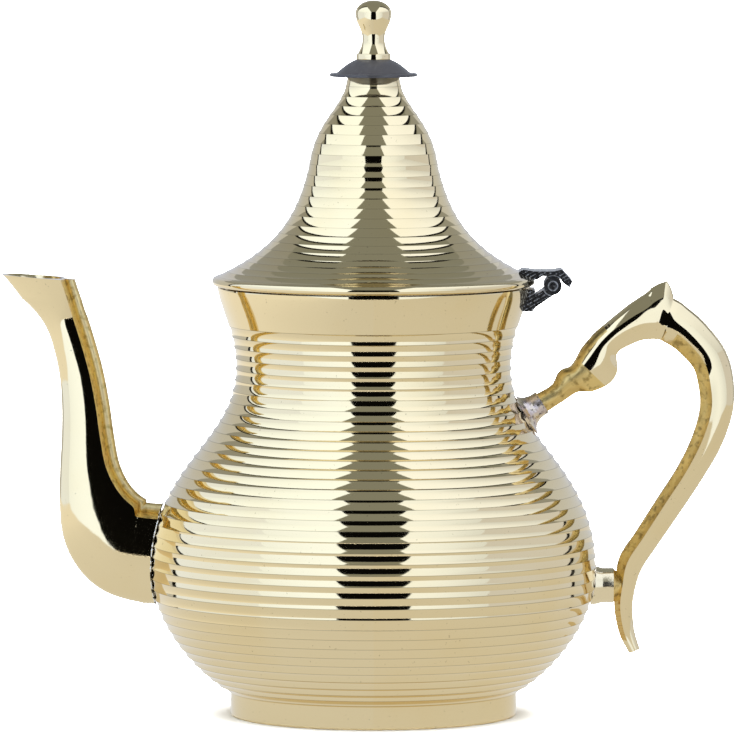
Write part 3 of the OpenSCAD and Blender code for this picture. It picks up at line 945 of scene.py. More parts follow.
class BeadTree(Tree):
    """Sets small drops of solder along a path, which is the piece's own mesh."""

    smallest = 0.65
    largest = 1.25
    stretch = 1.7

    def __init__(self) -> None:
        """Builds the tree."""
        super().__init__("solder_beads", "Path",
                         {"Spacing": "Float", "Bead Radius": "Float", "Seed": "Int"})
        g, inputs = self.graph, self.inputs
        curve = g.node("GeometryNodeMeshToCurve", {"Mesh": inputs.out("Path")})
        spaced = g.node("GeometryNodeCurveToPoints", {
            "Curve": curve.out(), "Length": inputs.out("Spacing")}, mode="LENGTH")
        drop = g.node("GeometryNodeMeshIcoSphere", {"Radius": inputs.out("Bead Radius"),
                                                    "Subdivisions": 2})
        smooth = g.node("GeometryNodeSetShadeSmooth", {"Geometry": drop.out("Mesh")})
        size = g.node("FunctionNodeRandomValue", {
            "Min": self.smallest, "Max": self.largest, "Seed": inputs.out("Seed")},
            data_type="FLOAT").out(1)
        long = g.node("ShaderNodeCombineXYZ", {"X": size, "Y": size,
                                               "Z": size * self.stretch}).out()
        placed = g.node("GeometryNodeInstanceOnPoints", {
            "Points": spaced.out("Points"), "Instance": smooth.out(),
            "Rotation": spaced.out("Rotation"), "Scale": long})
        self.close(placed.out())


class Lathe:
    """Turns profiles with the shared tree."""

    def __init__(self) -> None:
        """Makes the tree."""
        self.tree = TurningTree()

    def turn(self, name: str, profile: Sequence[ProfilePoint], material: bpy.types.Material,
             segments: int, sharp: float, pitch: float = 1.0,
             depth: float = 0.0) -> bpy.types.Object:
        """Turns one piece.

        Args:
            name: The piece's name.
            profile: Its outline; a closed one starts and ends at the same point.
            material: Its material.
            segments: Steps round the axis.
            sharp: Edges over this angle stay sharp, in degrees.
            pitch: Distance from ridge to ridge, in millimetres.
            depth: Depth of the flutes, in millimetres.

        Returns:
            The object.
        """
        piece = new_piece(name, [(p.place[0] * MM, 0.0, p.place[1] * MM) for p in profile],
                          path_edges(len(profile)))
        new = piece.data.attributes.new
        new("along", "FLOAT", "POINT").data.foreach_set(
            "value", [(p.along or 0.0) * MM for p in profile])
        new("fluted", "FLOAT", "POINT").data.foreach_set(
            "value", [float(p.along is not None) for p in profile])
        new("inward", "FLOAT_VECTOR", "POINT").data.foreach_set(
            "vector", [c for p in profile for c in (p.inward[0], 0.0, p.inward[1])])
        self.tree.run(piece, {"Segments": segments, "Flute Pitch": pitch * MM,
                              "Flute Depth": depth * MM, "Material": material})
        face_outward(piece.data)
        smooth_by_angle(piece.data, sharp)
        return piece


@dataclass
class Flutes:
    """Hollow flutes with sharp ridges between them, along a crest line."""

    pitch: float = 3.84
    phases: tuple[float, ...] = (0.0, 0.06, 0.15, 0.26, 0.38, 0.5, 0.62, 0.74, 0.85, 0.94)

    def rows(self, line: CrestLine, start: float, end: float) -> tuple[list[ProfilePoint], float]:
        """Profile points of the fluted stretch.

        Args:
            line: The crest line.
            start: Length at which the flutes start.
            end: Length at which they end.

        Returns:
            The points and the true pitch, which divides the stretch evenly.
        """
        count = round((end - start) / self.pitch)
        pitch = (end - start) / count
        lengths = [(i + phase) * pitch for i in range(count) for phase in self.phases]
        lengths.append(count * pitch)
        points = [ProfilePoint(line.at(start + s), line.inward(start + s), s) for s in lengths]
        return points, pitch


# ---------------------------------------------------------------- body


@dataclass
class Pot:
    """The pear-shaped body with its foot ring and base plate."""

    finishes: Finishes
    lathe: Lathe
    foot_r: float = 50.0
    foot_h: float = 8.0
    foot_wall: float = 2.0
    foot_ledge: float = 1.5
    belly_r: float = 78.0
    belly_z: float = 51.0
    waist_r: float = 48.3
    waist_z: float = 121.9
    mouth_r: float = 54.7
    mouth_z: float = 150.0
    flute_depth: float = 0.38
    shell_depth: float = 1.2
    neck_band: float = 14.0
    band_steps: int = 14
    foot_lip: float = 1.0
    foot_segments: int = 128
    foot_sharp: float = 30.0
    hole_d: float = 3.0
    hole_pitch: float = 5.1
    hole_high: float = 9.47
    hole_low: float = 13.78
    hole_half_y: float = 8.68
    hole_reach: int = 3
    spout_z: float = 57.0
    segments: int = 120
    sharp: float = 14.0
    line: CrestLine = field(init=False)

    def __post_init__(self) -> None:
        """Works out the crest line."""
        belly, waist = self.belly_z - self.foot_h, self.waist_z - self.belly_z
        mouth, flare = self.mouth_z - self.waist_z, self.mouth_r - self.waist_r
        swell = self.belly_r - self.foot_r
        foot_to_belly = bezier([
            (self.foot_r, self.foot_h), (self.foot_r + 0.42 * swell, self.foot_h + 0.14 * belly),
            (self.belly_r, self.belly_z - 0.45 * belly), (self.belly_r, self.belly_z)], 120)
        belly_to_waist = bezier([
            (self.belly_r, self.belly_z), (self.belly_r, self.belly_z + 0.52 * waist),
            (self.waist_r, self.waist_z - 0.37 * waist), (self.waist_r, self.waist_z)], 160)
        waist_to_mouth = bezier([
            (self.waist_r, self.waist_z), (self.waist_r, self.waist_z + 0.43 * mouth),
            (self.mouth_r - 0.24 * flare, self.mouth_z - 0.3 * mouth),
            (self.mouth_r, self.mouth_z)], 60)
        end = [np.array([self.mouth_r, self.mouth_z])]
        self.line = CrestLine(foot_to_belly + belly_to_waist + waist_to_mouth + end)

    def build(self) -> None:
        """Builds and dresses the shell, the foot and the plate."""
        self._shell()
        self._foot()
        dress_node("base_plate", self.finishes.inside)

    def _shell(self) -> None:
        """Turns the fluted shell and drills the strainer behind the spout."""
        line, depth = self.line, self.shell_depth
        end = line.length - self.neck_band
        fluted, pitch = Flutes().rows(line, self.foot_lip, end)
        band = [line.at(end + self.neck_band * i / self.band_steps)
                for i in range(1, self.band_steps)]
        rim = [(self.mouth_r - 0.1, self.mouth_z - 0.02), (self.mouth_r - 0.35, self.mouth_z),
               (self.mouth_r - depth + 0.2, self.mouth_z),
               (self.mouth_r - depth, self.mouth_z - 0.25)]
        inner = [p for p in line.inset(self.foot_lip, line.length, depth, 60)
                 if p[1] < self.mouth_z - 0.6]
        seat = self.foot_r - self.foot_wall
        start = [(seat, self.foot_h), (self.foot_r - 0.1, self.foot_h), (self.foot_r, self.foot_h)]
        profile = (plain(start) + fluted + plain(band) + plain(rim) + plain(inner[::-1])
                   + plain(start[:1]))
        piece = self.lathe.turn("fluted_body", profile, self.finishes.body, self.segments,
                                self.sharp, pitch, self.flute_depth)
        self._drill(piece)
        settle(piece, Body.POT, ["body_shell"])

    def _drill(self, piece: bpy.types.Object) -> None:
        """Cuts the strainer holes, in staggered rows that fill an ellipse.

        Args:
            piece: The shell.
        """
        centre = self.spout_z + (self.hole_high - self.hole_low) / 2
        half_z, radius = (self.hole_high + self.hole_low) / 2, self.hole_d * MM / 2
        numbers = range(-self.hole_reach, self.hole_reach + 1)
        work = bmesh.new()
        for row in numbers:
            for column in numbers:
                y = self.hole_pitch * (column + (0 if row % 2 == 0 else 0.5))
                z = self.hole_pitch * row * math.sin(math.radians(60))
                if (y / self.hole_half_y) ** 2 + (z / half_z) ** 2 > 1:
                    continue
                place = Matrix.Translation(Vector((-self.belly_r, y, centre + z)) * MM)
                turned = place @ Matrix.Rotation(math.pi / 2, 4, "Y")
                bmesh.ops.create_cone(work, cap_ends=True, segments=20, matrix=turned,
                                      radius1=radius, radius2=radius,
                                      depth=self.belly_r * MM / 3)
        drills = new_piece("strainer_drills", [])
        work.to_mesh(drills.data)
        work.free()
        cut = piece.modifiers.new("strainer", "BOOLEAN")
        cut.operation, cut.solver, cut.object = "DIFFERENCE", "MANIFOLD", drills
        bake(piece)
        bpy.data.objects.remove(drills)
        smooth_by_angle(piece.data, self.sharp)

    def _foot(self) -> None:
        """Turns the foot ring with softened edges."""
        outer, inner, plate = self.foot_r, self.foot_r - self.foot_wall, self.foot_h / 2
        ledge = self.foot_ledge
        outline = [(outer - 0.5, 0.0), (outer - 0.25, 0.08), (outer - 0.08, 0.25), (outer, 0.5),
                   (outer, 0.7), (outer, 4.0), (outer, self.foot_h), (inner, self.foot_h),
                   (inner, plate), (inner - ledge, plate), (inner - ledge, plate - ledge),
                   (inner, plate - 2 * ledge), (inner, 0.0), (outer - 0.5, 0.0)]
        piece = self.lathe.turn("foot", plain(outline), self.finishes.turned,
                                self.foot_segments, self.foot_sharp)
        settle(piece, Body.POT, ["foot_ring"])


# ---------------------------------------------------------------- swept castings


class Sweep:
    """Rows of a casting: centre x and z, depth in front, depth behind and half width."""

    def __init__(self, rows: Sequence[Sequence[float]], steps: int) -> None:
        """Joins the rows with Catmull-Rom curves.

        Args:
            rows: The rows; values past the first five are for the outline.
            steps: Rings from one row to the next.
        """
        self.rows = np.array(rows, float)
        self.steps = steps
        self.count = (len(rows) - 1) * steps + 1

    def _span(self, u: float) -> tuple[np.ndarray, np.ndarray, np.ndarray, np.ndarray, float]:
        """Finds where a place lies.

        Args:
            u: The place, where whole numbers are the given rows.

        Returns:
            The four rows round it and its share of the way between the middle two.
        """
        last = len(self.rows) - 1
        i = min(int(u), last - 1)
        a, b = self.rows[max(i - 1, 0)], self.rows[i]
        return a, b, self.rows[i + 1], self.rows[min(i + 2, last)], u - i

    def row(self, u: float) -> np.ndarray:
        """The row at a place, where whole numbers are the given rows."""
        a, b, c, d, t = self._span(u)
        return 0.5 * (2 * b + (c - a) * t + (2 * a - 5 * b + 4 * c - d) * t * t
                      + (3 * b - a - 3 * c + d) * t**3)

    def heading(self, u: float) -> np.ndarray:
        """The direction of the centre line.

        Args:
            u: The place, where whole numbers are the given rows.

        Returns:
            A unit vector in x and z.
        """
        a, b, c, d, t = self._span(u)
        slope = ((c - a) + 2 * (2 * a - 5 * b + 4 * c - d) * t
                 + 3 * (3 * b - a - 3 * c + d) * t * t)[:2]
        return slope / np.linalg.norm(slope)

    def rings(self, outline: Callable[[np.ndarray], list[Pair]], side: int) -> np.ndarray:
        """Rings of points.

        Args:
            outline: Gives a row's outline as depth in front and half width.
            side: +1 where the front lies left of the heading, -1 where it lies right.

        Returns:
            An array of rings, points and coordinates.
        """
        made = []
        for i in range(self.count):
            row, h = self.row(i / self.steps), self.heading(i / self.steps)
            front = np.array([-h[1], h[0]]) * side
            made.append([[row[0] + front[0] * d, w, row[1] + front[1] * d]
                         for d, w in outline(row)])
        return np.array(made)


def ring_faces(rings: int, points: int) -> list[Sequence[int]]:
    """Faces between neighbouring closed rings.

    Args:
        rings: Number of rings.
        points: Points in each ring.

    Returns:
        The faces; face i * points + k starts at point k of ring i.
    """
    return [(i * points + k, i * points + (k + 1) % points,
             (i + 1) * points + (k + 1) % points, (i + 1) * points + k)
            for i in range(rings - 1) for k in range(points)]


class SpoutFace(IntEnum):
    """The places of the spout's finishes in its list of materials."""

    SIDE = 0
    GROOVE = 1
    BORE = 2
    RIDGE = 3


@dataclass
class Spout:
    """The spout: two cast halves brazed together, with a ridge and a rough groove behind.

    Each row of shares gives a station of the sweep: the centre as shares of the reach and the
    rise, the depths in front and behind as shares of half the depth, and the half width as a
    share of half the width. The ridge is a profile in shares of its depth and half its width.
    """

    finishes: Finishes
    pot: Pot
    reach: float = 53.4
    rise: float = 97.1
    depth: float = 17.0
    width: float = 15.5
    wall: float = 1.5
    ridge_depth: float = 3.2
    ridge_w: float = 5.6
    groove_depth: float = 1.6
    side_flat: float = 0.3
    front_flat: float = 0.62
    fit: float = 0.05
    side_steps: int = 18
    steps: int = 8
    sharp: float = 32.0
    bead_step: float = 0.8
    bead_r: float = 0.3
    bead_offset: Triple = (1.003, 1.03, 1.0)
    bead_seed: int = 7
    shares: tuple[tuple[float, ...], ...] = (
        (0.000, 0.000, 2.15, 2.02, 1.225),
        (0.155, 0.013, 2.02, 2.02, 1.218),
        (0.260, 0.051, 1.87, 1.99, 1.205),
        (0.337, 0.113, 1.66, 2.10, 1.185),
        (0.386, 0.196, 1.38, 1.75, 1.145),
        (0.410, 0.299, 1.19, 1.34, 1.07),
        (0.420, 0.412, 1.05, 1.14, 1.02),
        (0.430, 0.525, 0.97, 1.02, 0.98),
        (0.460, 0.639, 0.87, 0.96, 0.94),
        (0.510, 0.747, 0.80, 0.94, 0.93),
        (0.555, 0.839, 0.92, 0.90, 0.98),
        (0.558, 0.911, 1.80, 0.69, 1.14),
        (0.548, 0.987, 2.71, 0.34, 1.34),
    )
    ridge: tuple[Pair, ...] = ((0, 0), (0.03, 0.33), (0.1, 0.6), (0.22, 0.84), (0.4, 0.98),
                               (0.58, 1.02), (0.75, 0.98), (0.9, 0.9), (1, 0.82))

    def outline(self, row: np.ndarray) -> list[Pair]:
        """Half outline of a row: ridge, groove, arris, side, then the bore back again.

        Args:
            row: The row.

        Returns:
            Depths in front of the centre line with half widths.
        """
        front, back, half = row[2], row[3], row[4]
        arris = self.ridge_depth + self.groove_depth - back
        start = math.asin(arris / back if arris < 0 else arris / front)
        outer = [(q[0] * self.ridge_depth - back, q[1] * self.ridge_w / 2) for q in self.ridge]
        for i in range(self.side_steps + 1):
            a = start + (math.pi / 2 - start) * i / self.side_steps
            depth, flat = (back, self.side_flat) if a < 0 else (front, self.front_flat)
            outer.append((math.sin(a) * depth, max(math.cos(a), 0.0) ** flat * half))
        near, far = front - self.wall, back - self.ridge_depth - self.wall
        count = len(outer)
        bore = [((near - far) / 2 + (near + far) / 2 * math.sin(a),
                 (half - self.wall) * math.cos(a))
                for a in (math.pi / 2 - math.pi * k / (count - 1) for k in range(count))]
        return outer + bore

    def build(self) -> None:
        """Builds both halves and the solder at the joint."""
        x = self.pot.line.radius_at(self.pot.spout_z)
        rows = [[-x - s[0] * self.reach, self.pot.spout_z + s[1] * self.rise,
                 s[2] * self.depth / 2, s[3] * self.depth / 2, s[4] * self.width / 2]
                for s in self.shares]
        rings = Sweep(rows, self.steps).rings(self.outline, 1)
        for point in rings[0]:
            r = self.pot.line.radius_at(point[2]) + self.fit
            point[0] = -math.sqrt(max(r * r - point[1] * point[1], 0))
        self._half("spout_half_left", "spout_left_half", rings * [1, -1, 1])
        self._half("spout_half_right", "spout_right_half", rings)
        self._solder(rings[0])

    def _half(self, name: str, node: str, rings: np.ndarray) -> None:
        """Makes one casting.

        Args:
            name: The piece's name.
            node: The node that it replaces.
            rings: Its rings.
        """
        count, m = rings.shape[0], rings.shape[1]
        faces = ring_faces(count, m)
        for base in (0, (count - 1) * m):
            faces += [(base + j, base + j + 1, base + m - 2 - j, base + m - 1 - j)
                      for j in range(m // 2 - 1)]
        finishes = {SpoutFace.SIDE: self.finishes.cast, SpoutFace.GROOVE: self.finishes.braze,
                    SpoutFace.BORE: self.finishes.inside, SpoutFace.RIDGE: self.finishes.ridge}
        piece = solid_piece(name, rings.reshape(-1, 3), faces,
                            [finishes[key] for key in SpoutFace], self.sharp)
        self._paint(piece, m)
        settle(piece, Body.POT, [node])

    def _paint(self, piece: bpy.types.Object, m: int) -> None:
        """Gives the groove its rough finish, the ridge its filed one and the bore its dull one.

        Args:
            piece: The casting.
            m: How many points each ring has.
        """
        foot = len(self.ridge) - 1
        for face in piece.data.polygons:
            spots = {v % m for v in face.vertices}
            if spots == {foot, foot + 1}:
                face.material_index = SpoutFace.GROOVE
            elif min(spots) >= m // 2:
                face.material_index = SpoutFace.BORE
            elif max(spots) <= foot:
                face.material_index = SpoutFace.RIDGE

    def _solder(self, ring: np.ndarray) -> None:
        """Sets beads of solder round the joint with the body.

        Args:
            ring: The casting's first ring.
        """
        outer = ring[: len(ring) // 2]
        path = np.concatenate([outer, (outer * [1, -1, 1])[-2::-1]]) * self.bead_offset
        piece = new_piece("spout_solder", path * MM, path_edges(len(path)))
        BeadTree().run(piece, {"Spacing": self.bead_step * MM, "Bead Radius": self.bead_r * MM,
                               "Seed": self.bead_seed, "Material": self.finishes.solder})
        settle(piece, Body.POT)


@dataclass
class Handle:
    """The scrolled cast handle with its sleeve and socket.

    Each row of shares gives a station of the sweep: the centre beyond the line between both
    ends as a share of the reach, its height as a share of the rise between them, the depths
    outside and inside as shares of half the strap's depth, and the half width as a share of
    half its width. The rough stretches are given as station numbers, counted from the tail.
    """

    finishes: Finishes
    pot: Pot
    lower_z: float = 45.3
    upper_z: float = 109.5
    reach: float = 60.0
    strap_depth: float = 9.4
    strap_w: float = 11.4
    sleeve_len: float = 6.4
    sleeve_d: float = 12.2
    socket_len: float = 7.5
    socket_d: float = 8.6
    tilt: float = 32.5
    stem_len: float = 6.5
    boss_len: float = 3.4
    bevel_end: int = 11
    steps: int = 8
    sharp: float = 17.0
    flank_points: int = 4
    crown_points: int = 8
    rough_from: float = 3.1
    rough_to: float = 12.4
    curl_from: float = 18.3
    stem_from: float = 20.4
    stem_shares: Pair = (0.82, 0.84)
    shares: tuple[tuple[float, ...], ...] = (
        (0.124, -0.360, 0.44, 0.42, 0.42),
        (0.078, -0.254, 0.60, 0.57, 0.50),
        (0.056, -0.121, 0.73, 0.65, 0.62),
        (0.070, 0.000, 0.79, 0.72, 0.78),
        (0.155, 0.123, 0.93, 0.97, 0.86),
        (0.302, 0.257, 0.96, 0.96, 0.90),
        (0.509, 0.444, 1.04, 0.98, 0.94),
        (0.696, 0.612, 1.06, 1.01, 0.98),
        (0.864, 0.783, 1.17, 1.12, 1.00),
        (0.995, 0.953, 1.22, 1.26, 1.02),
        (1.012, 1.098, 1.35, 1.32, 1.03),
        (0.973, 1.241, 1.34, 1.42, 1.02),
        (0.863, 1.369, 1.38, 1.54, 0.98),
        (0.758, 1.438, 1.56, 1.60, 0.92),
        (0.717, 1.455, 1.79, 1.61, 0.86),
        (0.685, 1.463, 2.78, 1.66, 0.82),
        (0.646, 1.465, 2.15, 1.62, 0.86),
        (0.545, 1.449, 1.32, 1.56, 0.94),
        (0.435, 1.391, 1.00, 1.37, 0.98),
        (0.357, 1.322, 1.06, 1.27, 0.98),
        (0.292, 1.238, 1.15, 2.15, 0.98),
        (0.212, 1.160, 0.82, 1.78, 0.94),
        (0.158, 1.114, 1.08, 1.02, 0.84),
    )

    def _rows(self) -> list[list[float]]:
        """Works out the sweep's stations.

        Returns:
            Rows in millimetres; their sixth value is 1 where the strap's sides are bevelled.
        """
        lower = self.pot.line.radius_at(self.lower_z) + self.sleeve_len
        tilt = math.radians(self.tilt)
        up = np.array([math.cos(tilt), math.sin(tilt)])
        root_z = self.upper_z - self.socket_len * up[1]
        upper = np.array([self.pot.line.radius_at(root_z), root_z]) + self.socket_len * up
        rise = upper[1] - self.lower_z
        rows = []
        for number, s in enumerate(self.shares):
            line_x = lower + min(max(s[1], 0), 1) * (upper[0] - lower)
            rows.append([line_x + s[0] * self.reach, self.lower_z + s[1] * rise,
                         s[2] * self.strap_depth / 2, s[3] * self.strap_depth / 2,
                         s[4] * self.strap_w / 2, float(number < self.bevel_end)])
        for distance, share in zip((self.stem_len, 0.0), self.stem_shares):
            rows.append([*(upper + distance * up)] + [share * self.socket_d / 2] * 3 + [0.0])
        return rows

    def _boss(self, first: int) -> tuple[np.ndarray, list[Sequence[int]]]:
        """The flared root that carries the strap on its sleeve.

        Args:
            first: Number of the boss's first point in the casting.

        Returns:
            Its points and its faces.
        """
        root = self.pot.line.radius_at(self.lower_z) + self.sleeve_len
        steps, reach = 24, self.boss_len
        profile = [(reach * t, self.sleeve_d / 2 * (0.98 - 0.38 * math.sin(t * math.pi / 2)))
                   for t in (0.0, 0.15, 0.35, 0.6, 0.85, 1.0)]
        points = [(root + x, r * math.cos(TAU * k / steps), self.lower_z
                   + r * math.sin(TAU * k / steps)) for x, r in profile for k in range(steps)]
        faces = ring_faces(len(profile), steps)
        faces += [range(steps), range((len(profile) - 1) * steps, len(profile) * steps)]
        return np.array(points), [tuple(first + v for v in face) for face in faces]

    @staticmethod
    def outline(row: np.ndarray) -> list[Pair]:
        """Closed outline of a row: narrow inner face, rough flank, arris, polished outer side.

        Args:
            row: The row.

        Returns:
            Depths in front of the centre line with widths.
        """
        front, back, half, bevel = row[2], row[3], row[4], row[5]
        side = [(-1.0, 0.42), (-0.88, 0.52), (-0.70, 0.66), (-0.52, 0.80),
                (-0.34, 0.94 + 0.06 * bevel), (-0.30, 0.955 + 0.035 * bevel),
                (-0.15, 0.985 - 0.025 * bevel)]
        angles = [math.pi / 2 * k / 12 for k in range(13)]
        side += [(math.sin(a), math.cos(a) * (1 - 0.08 * bevel * math.cos(a))) for a in angles]
        whole = side + [(d, -w) for d, w in side[-2::-1]]
        return [(d * (back if d < 0 else front), w * half) for d, w in whole]

    def build(self) -> None:
        """Builds the handle and dresses its sleeve and its socket."""
        rings = Sweep(self._rows(), self.steps).rings(self.outline, -1)
        count, m = rings.shape[0], rings.shape[1]
        faces = ring_faces(count, m) + [range(m), range((count - 1) * m, count * m)]
        boss, boss_faces = self._boss(count * m)
        points = np.concatenate([rings.reshape(-1, 3), boss])
        piece = solid_piece("scrolled_handle", points, faces + boss_faces,
                            [self.finishes.cast, self.finishes.rough], self.sharp)
        self._paint(piece, m)
        settle(piece, Body.POT, ["handle"])
        dress_node("handle_lower_sleeve", self.finishes.joint)
        dress_node("handle_upper_socket", self.finishes.heated)

    def _paint(self, piece: bpy.types.Object, m: int) -> None:
        """Leaves the grip's inner side, the curl's outer side, the stem and the boss rough.

        Args:
            piece: The casting.
            m: How many points each ring has.
        """
        flank, crown = self.flank_points, self.crown_points
        for face in piece.data.polygons:
            station = min(face.vertices) // m / self.steps
            spots = sorted(v % m for v in face.vertices)
            inner = spots[-1] <= flank or spots[0] >= m - 1 - flank or (
                spots[0] <= flank and spots[-1] >= m - 1 - flank)
            outer = spots[0] >= m // 2 - crown and spots[-1] <= m // 2 + crown
            if ((inner and self.rough_from < station < self.rough_to)
                    or (outer and station > self.curl_from) or station > self.stem_from):
                face.material_index = 1


# ---------------------------------------------------------------- lid and knob


@dataclass
class Lid:
    """The bell-shaped lid with its rolled edge."""

    finishes: Finishes
    lathe: Lathe
    mouth_z: float = 150.0
    edge_r: float = 56.4
    bead_r: float = 1.55
    bead_end: float = 70.0
    gap: float = 0.5
    shoulder_r: float = 22.7
    shoulder_h: float = 42.0
    top_r: float = 9.1
    top_h: float = 73.4
    wall: float = 0.9
    flute_start: float = 1.0
    flute_depth: float = 0.14
    top_band: float = 3.4
    top_wall: float = 1.4
    hole_r: float = 2.05
    shade_gap: float = 0.2
    segments: int = 120
    sharp: float = 13.0

    def _crest(self, start: np.ndarray) -> CrestLine:
        """The crest line, from the rolled edge over the shoulder to the flat top.

        Args:
            start: Radius and height at which the bell leaves the rolled edge.

        Returns:
            The line.
        """
        shoulder_z, top_z = self.mouth_z + self.shoulder_h, self.mouth_z + self.top_h
        run, rise = start[0] - self.shoulder_r, shoulder_z - start[1]
        cap_run, cap_rise = self.shoulder_r - self.top_r, top_z - shoulder_z
        bell = bezier([
            start, start + [-0.69 * run, 0.26 * rise],
            (self.shoulder_r + 0.12 * run, shoulder_z - 0.42 * rise),
            (self.shoulder_r, shoulder_z)], 160)
        cap = bezier([
            (self.shoulder_r, shoulder_z),
            (self.shoulder_r - 0.17 * cap_run, shoulder_z + 0.55 * cap_rise),
            (self.top_r + 0.1 * cap_run, top_z - 0.37 * cap_rise), (self.top_r, top_z)], 120)
        return CrestLine(bell + cap + [np.array([self.top_r, top_z])])

    def build(self) -> None:
        """Turns the shell, paints the shaded band under the disc and dresses the collar."""
        foot, top_z = self.mouth_z + self.gap, self.mouth_z + self.top_h
        centre = (self.edge_r - self.bead_r, foot + self.bead_r)
        bead = arc(centre, self.bead_r, -90, self.bead_end, 24)
        line = self._crest(bead[-1])
        flute_end = line.length - self.top_band
        fluted, pitch = Flutes().rows(line, self.flute_start, flute_end)
        rim, ceiling = self.edge_r - 2 * self.bead_r, top_z - self.top_wall
        inner = [p for p in line.inset(0, line.length, self.wall + self.flute_depth, 60)
                 if p[0] < rim and p[1] < ceiling]
        top = [line.at(flute_end + self.top_band * k / 4) for k in range(1, 4)]
        cap = [(self.top_r - 0.1, top_z), (self.hole_r, top_z), (self.hole_r, ceiling),
               (inner[-1][0], ceiling)]
        profile = (plain([(rim, foot)]) + plain(bead) + fluted + plain(top) + plain(cap)
                   + plain(inner[::-1]) + plain([(rim, foot)]))
        piece = self.lathe.turn("fluted_lid", profile, self.finishes.lid, self.segments,
                                self.sharp, pitch, self.flute_depth)
        piece.data.materials.append(self.finishes.shaded)
        for face in piece.data.polygons:
            if face.center.z > (top_z - self.top_band + self.shade_gap) * MM:
                face.material_index = 1
        settle(piece, Body.LID, ["lid_shell"])
        dress_node("lid_collar", self.finishes.inside)


@dataclass
class Knob:
    """The turned knob on its black disc, with the screw below."""

    finishes: Finishes
    lathe: Lathe
    top_z: float = 223.4
    disc_r: float = 15.3
    brim: float = 1.1
    brim_edge: float = 0.15
    disc_h: float = 5.9
    collar_r: float = 6.1
    collar_h: float = 2.1
    bulb_r: float = 6.35
    waist_r: float = 3.95
    knob_h: float = 20.7
    hole_r: float = 2.05
    hole_depth: float = 9.0
    edge: float = 0.25
    segments: int = 96
    sharp: float = 40.0

    def build(self) -> None:
        """Builds the disc and the knob, and dresses the fasteners."""
        self._disc()
        self._knob()
        for name in ("knob_washer", "knob_screw"):
            dress_node(name, self.finishes.steel)

    def _disc(self) -> None:
        """Turns the black disc."""
        crown, seat_z, edge = 0.86 * self.disc_r, self.top_z + self.disc_h, self.brim_edge
        brim_z = self.top_z + self.brim
        dome = bezier([(crown, brim_z), (0.78 * crown, self.top_z + 0.6 * self.disc_h),
                       (1.4 * self.collar_r, seat_z - 0.15 * self.disc_h),
                       (self.collar_r, seat_z)], 28)
        start = (self.hole_r, self.top_z)
        outline = [start, (self.disc_r - edge, self.top_z), (self.disc_r, self.top_z + edge),
                   (self.disc_r, brim_z - edge), (self.disc_r - edge, brim_z), *dome,
                   (self.collar_r, seat_z), (self.hole_r, seat_z), start]
        piece = self.lathe.turn("heat_disc", plain(outline), self.finishes.black, self.segments,
                                self.sharp)
        settle(piece, Body.LID, ["insulator_disc"])

    def _knob(self) -> None:
        """Turns the knob."""
        waist_h, bulb_h, height = 0.35 * self.knob_h, 0.775 * self.knob_h, self.knob_h
        collar, collar_h, edge = self.collar_r, self.collar_h, self.edge
        waist, bulb, soft = self.waist_r, self.bulb_r, 0.07
        points = [(self.hole_r, 0), (collar - edge, 0), (collar - soft, soft), (collar, edge),
                  (collar, collar_h - edge), (collar - soft, collar_h - soft),
                  (collar - edge, collar_h)]
        points += bezier([(1.4 * waist, collar_h), (1.15 * waist, 1.8 * collar_h),
                          (waist, waist_h - collar_h), (waist, waist_h)], 24)
        points += bezier([(waist, waist_h), (waist, waist_h + 0.17 * height),
                          (bulb, bulb_h - 0.18 * height), (bulb, bulb_h)], 30)
        points += bezier([(bulb, bulb_h), (bulb, bulb_h + 0.14 * height),
                          (0.5 * bulb, height), (0, height)], 30)
        points += [(0, height), (0, self.hole_depth), (self.hole_r, self.hole_depth),
                   (self.hole_r, 0)]
        base = self.top_z + self.disc_h
        outline = [(p[0], p[1] + base) for p in points]
        piece = self.lathe.turn("turned_knob", plain(outline), self.finishes.turned,
                                self.segments, self.sharp)
        settle(piece, Body.LID, ["knob"])


# ---------------------------------------------------------------- hinge


@dataclass
class Hinge:
    """The dark scrolled hinge."""

    finishes: Finishes

    def build(self) -> None:
        """Dresses the hinge's nodes."""
        for name in ("hinge_bracket", "lid_hinge_leaf", "hinge_pin"):
            dress_node(name, self.finishes.dark)


# ---------------------------------------------------------------- studio


@dataclass(frozen=True)
class Glow:
    """A panel's light: its radiance by the slit, its tint and the share left far from it.

    The light changes between two distances from the middle plane, in metres.
    """

    radiance: float
    tint: Colour = (1.0, 1.0, 1.0)
    far_share: float = 0.96
    near: float = 0.05
    far: float = 0.70


BLACK = Glow(0.003)
SEAM = Glow(0.01)
WALL = Glow(0.64, (0.96, 1.03, 1.2))
HAZE = Glow(0.38, (0.94, 1.02, 1.10))


@dataclass(frozen=True)
class PanelFinish(Finish):
    """A black surface that glows."""

    glow: Glow

    def sockets(self, graph: Graph) -> dict:
        """Lets the glow change away from the slit, with soft cloudy steps.

        Args:
            graph: The material's graph.

        Returns:
            Values and fields by socket name.
        """
        glow = self.glow
        light = tuple(c * glow.radiance for c in glow.tint)
        distant = tuple(c * glow.far_share for c in light)
        away = abs(graph.place()[0]) + graph.noise(4, 2) * 0.12 - 0.06
        share = away.ramp(glow.near, glow.far)
        return {"Base Color": (0.0, 0.0, 0.0, 1.0), "Roughness": 1.0, "Specular IOR Level": 0.0,
                "Emission Color": graph.blend(share, light, distant), "Emission Strength": 1.0}


